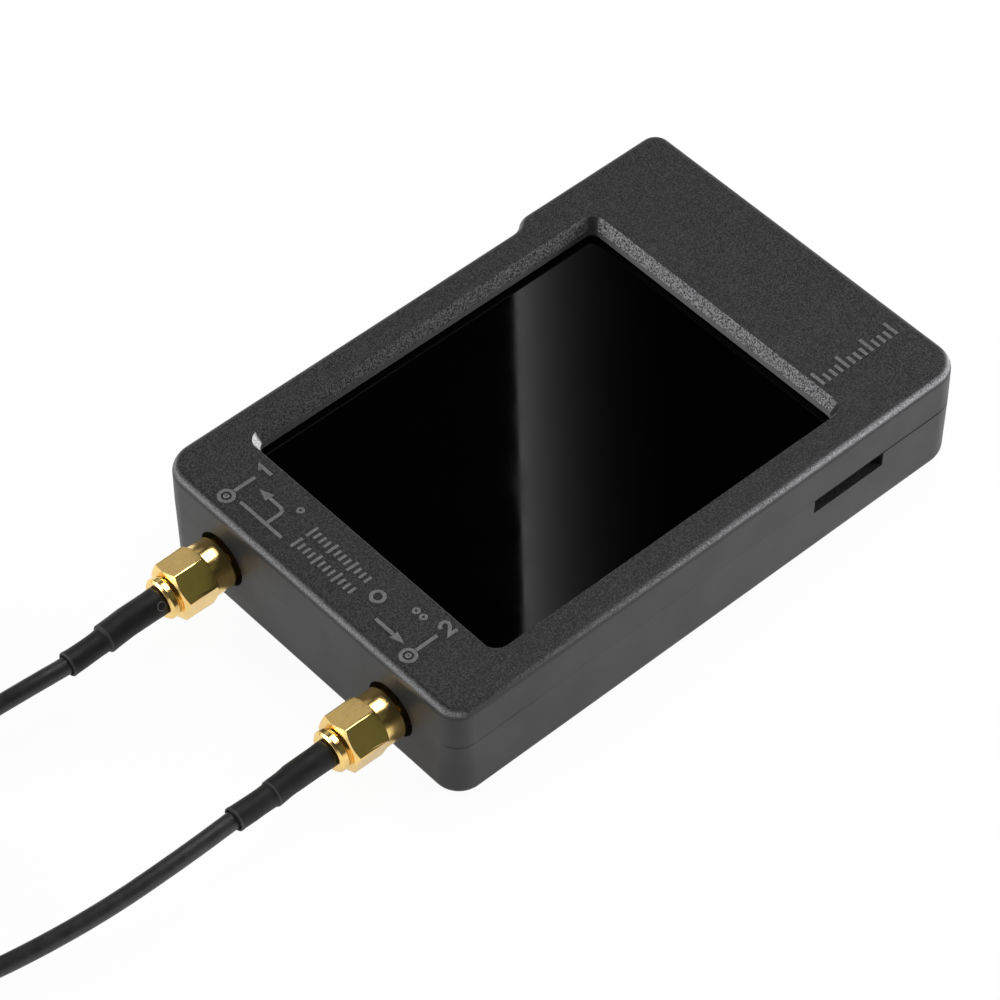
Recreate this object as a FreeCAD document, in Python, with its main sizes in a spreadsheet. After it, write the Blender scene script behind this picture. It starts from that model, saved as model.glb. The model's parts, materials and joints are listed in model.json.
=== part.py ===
"""Hand-held antenna analyzer with two coaxial test cables.

+X runs along the housing, away from the two coaxial ports, +Y towards the side with the
controls, and +Z out of the display.  The origin is the middle of the housing's underside.
Lengths are millimetres.
"""
import FreeCAD, Part
import math
import os
import re
import Sketcher

V = FreeCAD.Vector
UP = V(0, 0, 1)

SIZES = [
    ("overlap", 0.1, "how far joined forms reach into each other, and cuts past a face"),
    ("past", 1.0, "how far a cut starts in front of a face, and ends behind one"),
    ("beyond", 10.0, "how far a cut reaches outside the board"),
    # housing
    ("case_length", 92.0, "outer length along X"),
    ("case_width", 59.3, "outer width along Y, without the thicker stretch"),
    ("case_height", 17.7, "underside to display side"),
    ("parting_rise", 2.15, "where the two shells meet, above the ports' axes"),
    ("lower_taper", 0.2, "how far the underside stands in from the parting line"),
    ("wall", 2.0, "side walls"),
    ("floor_thickness", 2.0, "underside wall"),
    ("roof_thickness", 2.0, "display side wall"),
    ("corner_radius", 4.8, "upright corners on the -Y far and the +Y port side"),
    ("bump_corner_radius", 2.5, "upright corner of the thicker stretch"),
    ("near_corner_radius", 3.2, "upright corner on the -Y port side, from the parting line up"),
    ("near_base_radius", 4.2, "upright corner on the -Y port side, at the underside"),
    ("top_edge_radius", 1.45, "edge round the display side"),
    ("base_edge_radius", 1.8, "edge round the underside"),
    ("bump_depth", 1.5, "how far the thicker stretch stands out"),
    ("bump_lead", 15.9, "start of the thicker stretch to the middle of the jog switch"),
    ("bump_blend", 4.0, "length of the swing"),
    ("lip_height", 1.1, "tongue of the lower shell"),
    ("lip_thickness", 0.9, "tongue of the lower shell"),
    ("lip_gap", 0.1, "clearance round the tongue"),
    # display window
    ("window_y", 0.1, "middle of the window"),
    ("window_near_border", 11.15, "housing between the window and the port side"),
    ("window_far_border", 17.95, "housing between the window and the far end"),
    ("window_side_border", 4.9, "housing beside the window"),
    ("window_radius", 2.3, "corners at the display side"),
    ("bevel_width", 1.0, "slope round the window, across"),
    ("bevel_depth", 1.7, "slope round the window, down"),
    ("glass_depth", 3.0, "touch panel below the display side"),
    ("collar_width", 1.5, "rim that holds the touch panel"),
    # display
    ("gasket_thickness", 0.3, "foam between collar and touch panel"),
    ("gasket_inset", 0.2, "foam behind the edge of the window"),
    ("touch_end_lap", 4.15, "touch panel behind the ends of the window"),
    ("touch_lap", 1.25, "touch panel behind the sides of the window"),
    ("touch_thickness", 1.1, "touch panel"),
    ("lcd_thickness", 2.4, "display panel"),
    ("lcd_margin", 0.4, "display panel inside the touch panel's edge"),
    ("pad_width", 4.0, "foam strips under the display panel"),
    ("pad_end_gap", 15.0, "foam strips to the ends of the touch panel"),
    ("pad_y", 15.0, "foam strips from the middle"),
    ("flex_gap", 2.7, "display cable to the card socket"),
    ("flex_thickness", 0.25, "display cable"),
    ("flex_straight", 1.2, "display cable before its bend"),
    ("flex_tail", 10.0, "display cable on the board"),
    # board
    ("board_thickness", 1.6, "main board"),
    ("board_gap", 0.45, "main board to the walls"),
    ("display_gap", 3.05, "main board to the display panel"),
    ("boss_end_gap", 3.2, "middle of the screw bosses to the end walls"),
    ("boss_side_gap", 3.25, "middle of the screw bosses to the side walls"),
    ("boss_diameter", 5.2, "screw bosses"),
    ("boss_gap", 0.6, "board to the bosses"),
    ("screw_diameter", 2.0, "case screws"),
    ("screw_head", 3.8, "case screws"),
    ("screw_head_height", 1.3, "case screws"),
    ("screw_bevel", 0.3, "edge of the screw heads"),
    ("screw_tip", 0.7, "tapered end of the case screws"),
    ("pilot_depth", 0.6, "screw holes beyond the screws"),
    ("screw_room", 1.7, "end of the case screws to the display side's wall"),
    ("screw_socket", 1.9, "hexagon socket across flats in the head"),
    ("head_recess", 3.0, "depth of the screw recesses"),
    ("screw_gap", 0.15, "clearance round shank and head, at each side"),
    ("rest_length", 3.0, "posts that hold the board"),
    ("rest_width", 1.8, "posts that hold the board"),
    ("rest_near_x", -28.0, "posts that hold the board"),
    ("rest_card_gap", 2.8, "posts to the card socket"),
    ("fit_gap", 0.02, "clearance of a seated pin in its bore, at each side"),
    # coaxial ports
    ("port_side_gap", 12.65, "port axes to the long sides"),
    ("port_hole", 8.4, "holes in the housing"),
    ("flange_gap", 0.1, "jack flange to the wall"),
    ("flange_size", 6.6, "square jack flange"),
    ("flange_thickness", 1.6, "square jack flange"),
    ("leg_length", 4.2, "jack legs on the board"),
    ("leg_width", 1.0, "jack legs on the board"),
    ("thread_diameter", 6.35, "jack thread, quarter inch"),
    ("thread_length", 7.9, "jack thread"),
    ("thread_lead", 0.4, "bevel at the end of the jack thread"),
    ("thread_gap", 0.05, "running clearance of thread and plug, at each side"),
    ("socket_depth", 1.9, "mouth of the jack"),
    ("dielectric_diameter", 4.1, "insulators"),
    ("contact_diameter", 1.27, "jack contact"),
    ("contact_depth", 3.2, "bore of the jack contact"),
    ("jack_pin", 1.0, "solder pin of the jack contact"),
    ("jack_pin_length", 3.4, "solder pin of the jack contact"),
    # cable plugs
    ("pin_diameter", 0.92, "plug pin"),
    ("pin_reach", 2.5, "plug pin in front of the nose"),
    ("pin_tail", 7.0, "plug pin behind the nose's front"),
    ("pin_tip", 0.6, "tapered end of the plug pin"),
    ("nose_diameter", 4.55, "tube that goes into the jack's mouth"),
    ("nose_length", 2.0, "tube that goes into the jack's mouth"),
    ("neck_diameter", 5.5, "part that the nut turns on"),
    ("shoulder_diameter", 6.1, "collar behind the nut"),
    ("shoulder_length", 1.5, "collar behind the nut"),
    ("shoulder_bevel", 0.35, "collar behind the nut"),
    ("stem_diameter", 3.0, "crimp stem"),
    ("stem_length", 4.8, "crimp stem"),
    ("stem_bore", 1.9, "crimp stem"),
    ("plug_seat", 0.25, "step behind the plug's insulator"),
    ("nut_overhang", 3.5, "nut in front of the nose"),
    ("nut_length", 8.6, "coupling nut"),
    ("nut_round_length", 3.1, "round front of the coupling nut"),
    ("nut_round_diameter", 7.6, "round front of the coupling nut"),
    ("nut_flats", 7.5, "coupling nut across flats"),
    ("nut_thread_length", 6.1, "threaded bore of the coupling nut"),
    ("nut_mouth", 0.35, "chamfer at the mouth of the coupling nut"),
    ("nut_corner_drop", 0.5, "length of the chamfer that turns off the nut's corners"),
    ("nut_end_diameter", 7.0, "end of the chamfer that turns off the nut's corners"),
    ("nut_gap", 0.15, "nut to shoulder"),
    ("ring_wire", 0.5, "snap ring thickness"),
    ("ring_outer", 6.2, "snap ring"),
    ("ring_inner", 4.8, "snap ring"),
    ("ring_slit", 1.4, "snap ring"),
    ("ring_back", 4.05, "snap ring's middle behind the nose's front"),
    ("groove_gap", 0.08, "clearance round the snap ring, at each side"),
    ("ferrule_length", 5.75, "crimp ferrule"),
    ("ferrule_diameter", 3.7, "crimp ferrule"),
    ("cable_gap", 0.15, "cable's end to the ferrule"),
    ("shrink_thick", 4.0, "heat-shrink over the ferrule"),
    ("shrink_thin", 3.25, "heat-shrink over the cable"),
    ("shrink_thick_length", 9.05, "heat-shrink over the ferrule"),
    ("shrink_step", 1.2, "slope between the two"),
    ("shrink_length", 15.65, "heat-shrink"),
    ("shrink_gap", 0.2, "heat-shrink to cable, at each side"),
    ("nut_one_angle", 15.0, "degrees that a corner of nut one leans from +Z to -Y"),
    ("nut_two_angle", 18.5, "degrees that a corner of nut two leans from +Z to -Y"),
    # cable
    ("cable_diameter", 2.54, "thin coaxial cable"),
    ("coil_height", 8.4, "turns that lie on each other"),
    ("coil_one_radius", 14.0, "middle of the turns"),
    ("coil_two_radius", 13.2, "middle of the turns"),
    ("coil_edge", 1.0, "bevel of the coil's edges"),
    ("coil_slack", 0.1, "coil's outline to its turns"),
    # memory card
    ("card_end_gap", 21.7, "middle of the card slot to the far end"),
    ("card_slot_length", 12.9, "slot in the housing"),
    ("card_slot_height", 2.55, "slot in the housing"),
    ("card_socket_length", 14.0, "socket along X"),
    ("card_socket_depth", 14.5, "socket along Y"),
    ("card_socket_height", 1.9, "socket"),
    ("card_mouth_length", 11.4, "opening of the socket"),
    ("card_mouth_height", 1.0, "opening of the socket"),
    ("card_mouth_depth", 13.0, "opening of the socket"),
    # charging port
    ("usb_x", 1.5, "middle of the port"),
    ("usb_width", 8.94, "shell along X"),
    ("usb_height", 3.26, "shell"),
    ("usb_depth", 7.4, "shell along Y"),
    ("usb_shell", 0.3, "shell thickness"),
    ("usb_rear", 1.0, "shell's rear wall"),
    ("usb_sunk", 0.4, "shell's mouth inside the housing's face"),
    ("usb_raise", 0.53, "port's middle above the top of the board, which is cut out for it"),
    ("usb_notch", 0.2, "board to the shell, at each side"),
    ("usb_tongue_width", 6.7, "contact tongue"),
    ("usb_tongue_height", 0.7, "contact tongue"),
    ("usb_tongue_sunk", 0.5, "contact tongue inside the shell's mouth"),
    ("usb_gap", 0.35, "clearance in the housing's hole, at each side"),
    # power switch
    ("power_x", -13.0, "middle of the switch"),
    ("power_length", 8.6, "frame along X"),
    ("power_depth", 4.4, "frame along Y"),
    ("power_height", 2.5, "frame"),
    ("power_shell", 0.4, "frame thickness"),
    ("knob_length", 2.4, "knob along X"),
    ("knob_height", 1.2, "knob"),
    ("knob_reach", 1.0, "knob outside the housing's face"),
    ("knob_travel", 2.0, "between off and on"),
    ("knob_base", 0.9, "plate at the root of the knob"),
    ("knob_plate", 3.2, "the same plate along X"),
    ("switch_gap", 0.15, "clearance of moving switch parts, at each side"),
    # jog switch
    ("jog_end_gap", 13.0, "middle of the switch to the far end"),
    ("jog_length", 8.4, "frame along X"),
    ("jog_depth", 7.0, "frame along Y"),
    ("jog_height", 2.6, "frame"),
    ("jog_shell", 0.4, "frame thickness"),
    ("jog_pivot_back", 4.6, "pivot behind the frame's mouth"),
    ("jog_pin", 1.1, "pivot pin"),
    ("jog_hub", 3.0, "hub of the lever"),
    ("jog_blade", 2.2, "blade of the lever along X"),
    ("jog_pad", 3.2, "thumb pad of the lever along X"),
    ("jog_pad_depth", 1.3, "thumb pad of the lever along Y"),
    ("jog_lever_height", 0.95, "lever"),
    ("jog_pad_height", 2.2, "thumb pad of the lever"),
    ("jog_reach", 1.7, "lever outside the housing's face"),
    ("jog_push", 0.4, "travel when the lever is pressed"),
    ("jog_stop", 0.1, "slider to the frame's back when pressed"),
    ("jog_tilt", 10.0, "degrees that the lever swings each way"),
    ("jog_slider_length", 4.4, "slider along X"),
    ("jog_slider_height", 0.5, "slider"),
    ("jog_slot_gap", 0.6, "lever to its slot, at each side"),
    # battery
    ("battery_end_gap", 5.5, "cell to the far wall"),
    ("battery_width", 34.0, "cell along Y"),
    ("battery_gap", 0.4, "cell to the main board"),
    ("battery_edge", 1.2, "rounding along the cell"),
    ("tape_thickness", 0.25, "tape under the cell"),
    ("tape_width", 12.0, "tape under the cell"),
    ("tape_end_gap", 3.0, "tape to the ends of the cell"),
    ("plug_length", 4.0, "battery connector along X"),
    ("plug_width", 5.6, "battery connector along Y"),
    ("plug_gap", 1.75, "battery connector to the underside's wall"),
    ("plug_shield_gap", 2.9, "battery connector to the shields"),
    ("lead_diameter", 1.0, "battery leads"),
    ("lead_spacing", 2.4, "battery leads"),
    ("lead_length", 3.1, "battery leads"),
    ("lead_drop", 1.45, "leads below the board"),
    # shields and chips
    ("shield_gap", 1.6, "shields to the jacks' legs"),
    ("shield_length", 19.0, "along X"),
    ("shield_width", 20.0, "along Y"),
    ("shield_height", 2.2, "below the board"),
    ("shield_wall", 0.3, "sheet"),
    ("shield_spacing", 24.0, "between the middles of the two shields"),
    ("chip_height", 1.4, "processor"),
    ("chip_size", 7.0, "processor"),
    ("small_chip_height", 0.9, "other chips"),
    ("small_chip_size", 5.0, "other chips"),
    ("processor_x", -4.0, "processor"),
    ("clock_x", 8.0, "clock generator and crystal"),
    ("clock_y", 2.0, "clock generator"),
    ("crystal_y", -6.0, "crystal"),
    ("supply_x", -20.0, "converter and charger"),
    ("converter_y", 6.0, "converter"),
    ("charger_y", -4.0, "charger"),
]

LEVELS = [
    ("port_x", "-case_length / 2", "outer face of the wall with the ports"),
    ("far_x", "case_length / 2", "outer face of the far wall"),
    ("side_y", "case_width / 2", "outer face of the control side"),
    ("bump_y", "side_y + bump_depth", "outer face of the thicker stretch"),
    ("window_length", "case_length - window_near_border - window_far_border", "at the display side"),
    ("window_x", "(window_near_border - window_far_border) / 2", "middle of the window"),
    ("window_width", "case_width - 2 * window_side_border", "at the display side"),
    ("touch_width", "window_width - 2 * bevel_width + 2 * touch_lap", "touch panel"),
    ("touch_length", "window_length - 2 * bevel_width + 2 * touch_end_lap", "touch panel"),
    ("pad_length", "touch_length - 2 * pad_end_gap", "foam strips under the display panel"),
    ("boss_x", "far_x - wall - boss_end_gap", "screw bosses from the middle"),
    ("boss_y", "side_y - wall - boss_side_gap", "screw bosses from the middle"),
    ("board_y", "side_y - wall - board_gap", "long edges of the board"),
    ("flex_width", "2 * (board_y - card_socket_depth - flex_gap)", "display cable"),
    ("card_x", "far_x - card_end_gap", "middle of the card slot"),
    ("rest_far_x", "card_x - card_socket_length / 2 - rest_card_gap - rest_length / 2",
     "posts that hold the board"),
    ("jog_x", "far_x - jog_end_gap", "middle of the jog switch"),
    ("bump_start", "jog_x - bump_lead", "X where the side starts to swing out"),
    ("port_spacing", "case_width - 2 * port_side_gap", "between the two ports"),
    ("glass_top", "case_height - glass_depth", "face of the touch panel"),
    ("glass_base", "glass_top - touch_thickness", "back of the touch panel"),
    ("lcd_base", "glass_base - lcd_thickness", "back of the display panel"),
    ("board_top", "lcd_base - display_gap", "upper side of the board"),
    ("board_base", "board_top - board_thickness", "underside of the board"),
    ("port_height", "board_top + jack_pin / 2", "port axes: the jacks' pins lie on the board"),
    ("parting_height", "port_height + parting_rise", "where the two shells meet"),
    ("roof_inside", "case_height - roof_thickness", "inside of the display side"),
    ("screw_length", "roof_inside - head_recess - screw_room", "case screws below the head"),
    ("battery_thickness", "board_base - floor_thickness - tape_thickness - battery_gap", "cell"),
    ("plug_height", "board_base - floor_thickness - plug_gap", "battery connector"),
    ("collar_base", "glass_top + gasket_thickness", "lower edge of the collar"),
    ("flange_x", "port_x + wall + flange_gap", "front of the jack flanges"),
    ("board_x", "flange_x + flange_thickness", "board edge at the ports"),
    ("shield_x", "board_x + leg_length + shield_gap + shield_length / 2", "middle of the two shields"),
    ("plug_x", "shield_x + shield_length / 2 + plug_shield_gap + plug_length / 2",
     "middle of the battery connector"),
    ("battery_near", "plug_x + plug_length / 2 + lead_length", "end of the cell with the leads"),
    ("battery_length", "far_x - wall - battery_end_gap - battery_near", "cell along X"),
    ("battery_x", "battery_near + battery_length / 2", "middle of the cell"),
    ("tape_length", "battery_length - 2 * tape_end_gap", "tape under the cell"),
    ("jack_end", "flange_x - thread_length", "free end of the jacks"),
    ("mate_x", "jack_end + socket_depth", "where nose and jack meet"),
    ("neck_length", "nut_length - nut_overhang + nut_gap - nose_length", "part that the nut turns on"),
    ("shoulder_back", "nose_length + neck_length + shoulder_length", "from the nose's front"),
    ("cable_back", "shoulder_back + ferrule_length + cable_gap", "cable's end from the nose's front"),
    ("usb_z", "board_top + usb_raise", "middle of the charging port"),
    ("usb_back", "side_y - usb_sunk - usb_depth", "back of the charging port"),
    ("jog_face", "board_y", "front of the jog switch's frame"),
    ("jog_pivot_y", "jog_face - jog_pivot_back", "pivot of the lever"),
    ("jog_floor", "board_top + jog_shell", "inside of the jog switch"),
    ("jog_slider_depth", "2 * (jog_depth - jog_shell - jog_pivot_back - jog_push - jog_stop)",
     "slider along Y"),
    ("jog_lever_base", "jog_floor + switch_gap + jog_slider_height + switch_gap / 2", "lever"),
]

doc = FreeCAD.newDocument("antenna_analyzer")
sheet = doc.addObject("Spreadsheet::Sheet", "Sizes")
for row, (alias, amount, note) in enumerate(SIZES + LEVELS, start=1):
    sheet.set("A%d" % row, alias)
    sheet.set("B%d" % row, "=" + amount if isinstance(amount, str) else str(amount))
    sheet.set("C%d" % row, note)
    sheet.setAlias("B%d" % row, alias)
doc.recompute()
NAMES = {alias for alias, _, _ in SIZES + LEVELS}


def formula(text):
    """Write the sheet's name in front of every size in the text."""
    named = lambda found: "Sizes." + found.group() if found.group() in NAMES else found.group()
    return re.sub(r"[a-z_]+", named, str(text))


def number(text):
    """What a formula comes to."""
    return float(sheet.evalExpression(str(text)))


def bind(thing, **sizes):
    """Tie properties of an object to formulas of the sheet."""
    for prop, text in sizes.items():
        thing.setExpression(prop, formula(text))
    return thing


def put(thing, x="0", y="0", z="0"):
    """Tie an object's place to formulas of the sheet."""
    for axis, text in zip("xyz", (x, y, z)):
        thing.setExpression("Placement.Base." + axis, formula(text))
    return thing


def turn(thing, axis, degrees):
    thing.Placement = FreeCAD.Placement(V(), FreeCAD.Rotation(axis, degrees))
    return thing


def block(name, x, y, z):
    """A box; x, y and z are pairs of formulas, its middle and its length, or its low face
    and its length where the pair starts with '>'."""
    box = doc.addObject("Part::Box", name)
    low = []
    for (place, length), prop in zip((x, y, z), ("Length", "Width", "Height")):
        box.setExpression(prop, formula(length))
        low.append(place[1:] if place[0] == ">" else "(%s) - (%s) / 2" % (place, length))
    return put(box, *low)


def rod(name, start, length, diameter, end_diameter=None, axis="X"):
    """A cylinder, or a cone where it has an end diameter, from start along the axis."""
    if end_diameter is None:
        thing = doc.addObject("Part::Cylinder", name)
        bind(thing, Radius="(%s) / 2" % diameter, Height=length)
    else:
        thing = doc.addObject("Part::Cone", name)
        bind(thing, Radius1="(%s) / 2" % diameter, Radius2="(%s) / 2" % end_diameter, Height=length)
    if axis == "X":
        return put(turn(thing, V(0, 1, 0), 90), x=start)
    if axis == "Y":
        return put(turn(thing, V(1, 0, 0), -90), y=start)
    return put(thing, z=start)


def fuse(name, things):
    if len(things) == 1:
        return things[0]
    joined = doc.addObject("Part::MultiFuse", name)
    joined.Shapes = things
    return joined


def cut(name, base, tools):
    made = doc.addObject("Part::Cut", name)
    made.Base = base
    made.Tool = fuse(name + "_tools", tools)
    return made


def group(name, things):
    """Separate solids in one node."""
    held = doc.addObject("Part::Compound", name)
    held.Links = things
    return held


def turned(name, steps, bores=(), axis="X"):
    """A piece with one axis; a step or bore is (start, length, diameter[, end diameter])."""
    solid = fuse(name + "_solid", [rod("%s_step%d" % (name, k), *step, axis=axis)
                                   for k, step in enumerate(steps)])
    if not bores:
        return solid
    return cut(name, solid, [rod("%s_bore%d" % (name, k), *bore, axis=axis)
                             for k, bore in enumerate(bores)])


def stadium(name, x, length, height, z, y, depth):
    """A hole with round ends, through a long side."""
    flat = "%s - %s" % (length, height)
    ends = []
    for side, sign in (("low", "-"), ("high", "+")):
        end = rod("%s_%s" % (name, side), y, depth, height, axis="Y")
        ends.append(put(end, "%s %s (%s) / 2" % (x, sign, flat), y, z))
    middle = block(name + "_middle", (x, flat), (">" + y, depth), (z, height))
    return fuse(name, [middle] + ends)


# Sketches

def new_sketch(body, name, height):
    sketch = body.newObject("Sketcher::SketchObject", name)
    plane = next(f for f in body.Origin.OriginFeatures if f.Role == "XY_Plane")
    sketch.AttachmentSupport = (plane, [""])
    sketch.MapMode = "FlatFace"
    sketch.setExpression("AttachmentOffset.Base.z", formula(height))
    return sketch


def datum(sketch, text, kind, *where):
    """A dimension that follows the sheet."""
    index = sketch.addConstraint(Sketcher.Constraint(kind, *where, number(text)))
    name = "size_%d" % index
    sketch.renameConstraint(index, name)
    sketch.setExpression("Constraints." + name, formula(text))


def from_origin(sketch, kind, edge, text):
    """The place of an edge's first point, counted from the origin."""
    if number(text) < 0:
        datum(sketch, "-(%s)" % text, kind, edge, 1, -1, 1)
    else:
        datum(sketch, text, kind, -1, 1, edge, 1)


def closed_loop(sketch, edges, backward=()):
    """Lines and arcs, each tangent to the next; those in backward run from end to start."""
    first = sketch.GeometryCount
    sketch.addGeometry(edges, False)
    for k in range(len(edges)):
        after = (k + 1) % len(edges)
        leaves = 1 if k in backward else 2
        enters = 2 if after in backward else 1
        sketch.addConstraint(Sketcher.Constraint("Tangent", first + k, leaves, first + after, enters))
        if isinstance(edges[k], Part.LineSegment):
            flat = abs(edges[k].StartPoint.y - edges[k].EndPoint.y) < 1e-6
            sketch.addConstraint(Sketcher.Constraint("Horizontal" if flat else "Vertical", first + k))
    return first


def arc(x, y, radius, start, end):
    """An arc round a centre, anticlockwise between two angles in degrees."""
    circle = Part.Circle(V(x, y, 0), UP, radius)
    return Part.ArcOfCircle(circle, math.radians(start), math.radians(end))


def line(x0, y0, x1, y1):
    return Part.LineSegment(V(x0, y0, 0), V(x1, y1, 0))


def rounded_rectangle(sketch, x, y, length, width, radius):
    """A rectangle with round corners; x and y are its middle."""
    cx, cy, half_x, half_y, r = (number(t) for t in (
        x, y, "(%s) / 2" % length, "(%s) / 2" % width, radius))
    x0, x1, y0, y1 = cx - half_x, cx + half_x, cy - half_y, cy + half_y
    first = closed_loop(sketch, [
        line(x0 + r, y0, x1 - r, y0), arc(x1 - r, y0 + r, r, 270, 360),
        line(x1, y0 + r, x1, y1 - r), arc(x1 - r, y1 - r, r, 0, 90),
        line(x1 - r, y1, x0 + r, y1), arc(x0 + r, y1 - r, r, 90, 180),
        line(x0, y1 - r, x0, y0 + r), arc(x0 + r, y0 + r, r, 180, 270)])
    from_origin(sketch, "DistanceY", first, "%s - (%s) / 2" % (y, width))
    from_origin(sketch, "DistanceX", first + 2, "%s + (%s) / 2" % (x, length))
    from_origin(sketch, "DistanceY", first + 4, "%s + (%s) / 2" % (y, width))
    from_origin(sketch, "DistanceX", first + 6, "%s - (%s) / 2" % (x, length))
    for corner in (1, 3, 5, 7):
        datum(sketch, radius, "Radius", first + corner)


SWING = "(bump_blend ^ 2 + bump_depth ^ 2) / (4 * bump_depth)"


def case_outline(sketch, inset="0", near="near_corner_radius"):
    """The housing seen from above, moved inwards by inset; near is the radius of one corner."""
    x1, y1, bump, r, bump_r, near_r, start, blend, swing, i = (number(t) for t in (
        "far_x", "side_y", "bump_depth", "corner_radius", "bump_corner_radius", near,
        "bump_start", "bump_blend", SWING, inset))
    angle = math.degrees(math.asin(blend / 2 / swing))
    x1, y0, y1 = x1 - i, -y1 + i, y1 - i
    r, bump_r, near_r = r - i, bump_r - i, near_r - i
    y2 = y1 + bump
    inner, outer = swing + i, swing - i
    first = closed_loop(sketch, [
        line(-x1 + near_r, y0, x1 - r, y0), arc(x1 - r, y0 + r, r, 270, 360),
        line(x1, y0 + r, x1, y2 - bump_r), arc(x1 - bump_r, y2 - bump_r, bump_r, 0, 90),
        line(x1 - bump_r, y2, start + blend, y2),
        arc(start + blend, y2 - outer, outer, 90, 90 + angle),
        arc(start, y1 + inner, inner, 270, 270 + angle),
        line(start, y1, -x1 + r, y1), arc(-x1 + r, y1 - r, r, 90, 180),
        line(-x1, y1 - r, -x1, y0 + near_r),
        arc(-x1 + near_r, y0 + near_r, near_r, 180, 270)], backward=(6,))
    from_origin(sketch, "DistanceY", first, "-side_y + %s" % inset)
    from_origin(sketch, "DistanceX", first + 2, "far_x - %s" % inset)
    from_origin(sketch, "DistanceY", first + 4, "bump_y - %s" % inset)
    from_origin(sketch, "DistanceY", first + 7, "side_y - %s" % inset)
    from_origin(sketch, "DistanceX", first + 7, "bump_start")
    from_origin(sketch, "DistanceX", first + 9, "port_x + %s" % inset)
    for corner, radius in ((1, "corner_radius"), (3, "bump_corner_radius"), (8, "corner_radius"),
                           (10, near)):
        datum(sketch, "%s - %s" % (radius, inset), "Radius", first + corner)
    datum(sketch, "%s - %s" % (SWING, inset), "Radius", first + 5)
    datum(sketch, "%s + %s" % (SWING, inset), "Radius", first + 6)


def edges_at(shape, height):
    """The names of the edges that lie level at one height."""
    level = lambda e: abs(e.BoundBox.ZMin - height) < 1e-4 and abs(e.BoundBox.ZMax - height) < 1e-4
    return ["Edge%d" % (k + 1) for k, e in enumerate(shape.Edges) if level(e)]


def round_edges(body, name, height, radius):
    """Round every outer edge at one height."""
    doc.recompute()
    before = body.Tip
    fillet = body.newObject("PartDesign::Fillet", name)
    fillet.Base = (before, edges_at(before.Shape, number(height)))
    return bind(fillet, Radius=radius)


def extrude(body, kind, sketch, name, length, upward=True):
    """A pad or pocket from a sketch; it goes up, or down, from the sketch's plane."""
    feature = body.newObject("PartDesign::" + kind, name)
    feature.Profile = sketch
    feature.Reversed = upward if kind == "Pocket" else not upward
    sketch.Visibility = False
    return bind(feature, Length=length)


def loft(body, kind, low, high, name):
    feature = body.newObject("PartDesign::" + kind, name)
    feature.Profile = low
    feature.Sections = [high]
    feature.Ruled = True
    return feature


# Housing

def port_y(port):
    return "%sport_spacing / 2" % ("" if port == "one" else "-")


PORTS = ("one", "two")
CORNERS = [(sx, sy) for sx in "-+" for sy in "-+"]


def posts(name, low, high):
    """The four posts that hold the board, from one height to another."""
    made = []
    for where in ("near", "far"):
        for side in "-+":
            made.append(block("%s_%s%d" % (name, where, side == "+"),
                              ("rest_%s_x" % where, "rest_length"),
                              ("%s(board_y - rest_width / 2)" % side, "rest_width"),
                              (">" + low, "(%s) - (%s)" % (high, low))))
    return made


def bosses(name, low, high, diameter):
    made = []
    for k, (sx, sy) in enumerate(CORNERS):
        pillar = rod("%s%d" % (name, k), low, "(%s) - (%s)" % (high, low), diameter, axis="Z")
        made.append(put(pillar, sx + "boss_x", sy + "boss_y", low))
    return made


def wall_holes():
    """What cuts both shells: the two ports and the holes for the controls."""
    holes = []
    for port in PORTS:
        hole = rod("port_hole_" + port, "port_x - past", "wall + 2 * past", "port_hole")
        holes.append(put(hole, "port_x - past", port_y(port), "port_height"))
    holes.append(stadium("usb_hole", "usb_x", "(usb_width + 2 * usb_gap)", "(usb_height + 2 * usb_gap)",
                         "usb_z", "side_y - wall - past", "wall + 2 * past"))
    holes.append(stadium("power_hole", "power_x", "(knob_length + knob_travel + 4 * switch_gap)",
                         "(knob_height + 4 * switch_gap)", "board_top + power_height / 2",
                         "side_y - wall - past", "wall + 2 * past"))
    swing = "jog_pad + 2 * jog_slot_gap + 2 * (bump_y - jog_pivot_y) * tan(jog_tilt)"
    holes.append(stadium("jog_hole", "jog_x", "(%s)" % swing, "(jog_pad_height + 2 * jog_slot_gap)",
                         "jog_lever_base + jog_lever_height / 2", "bump_y - wall - past", "wall + 2 * past"))
    return holes


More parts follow.
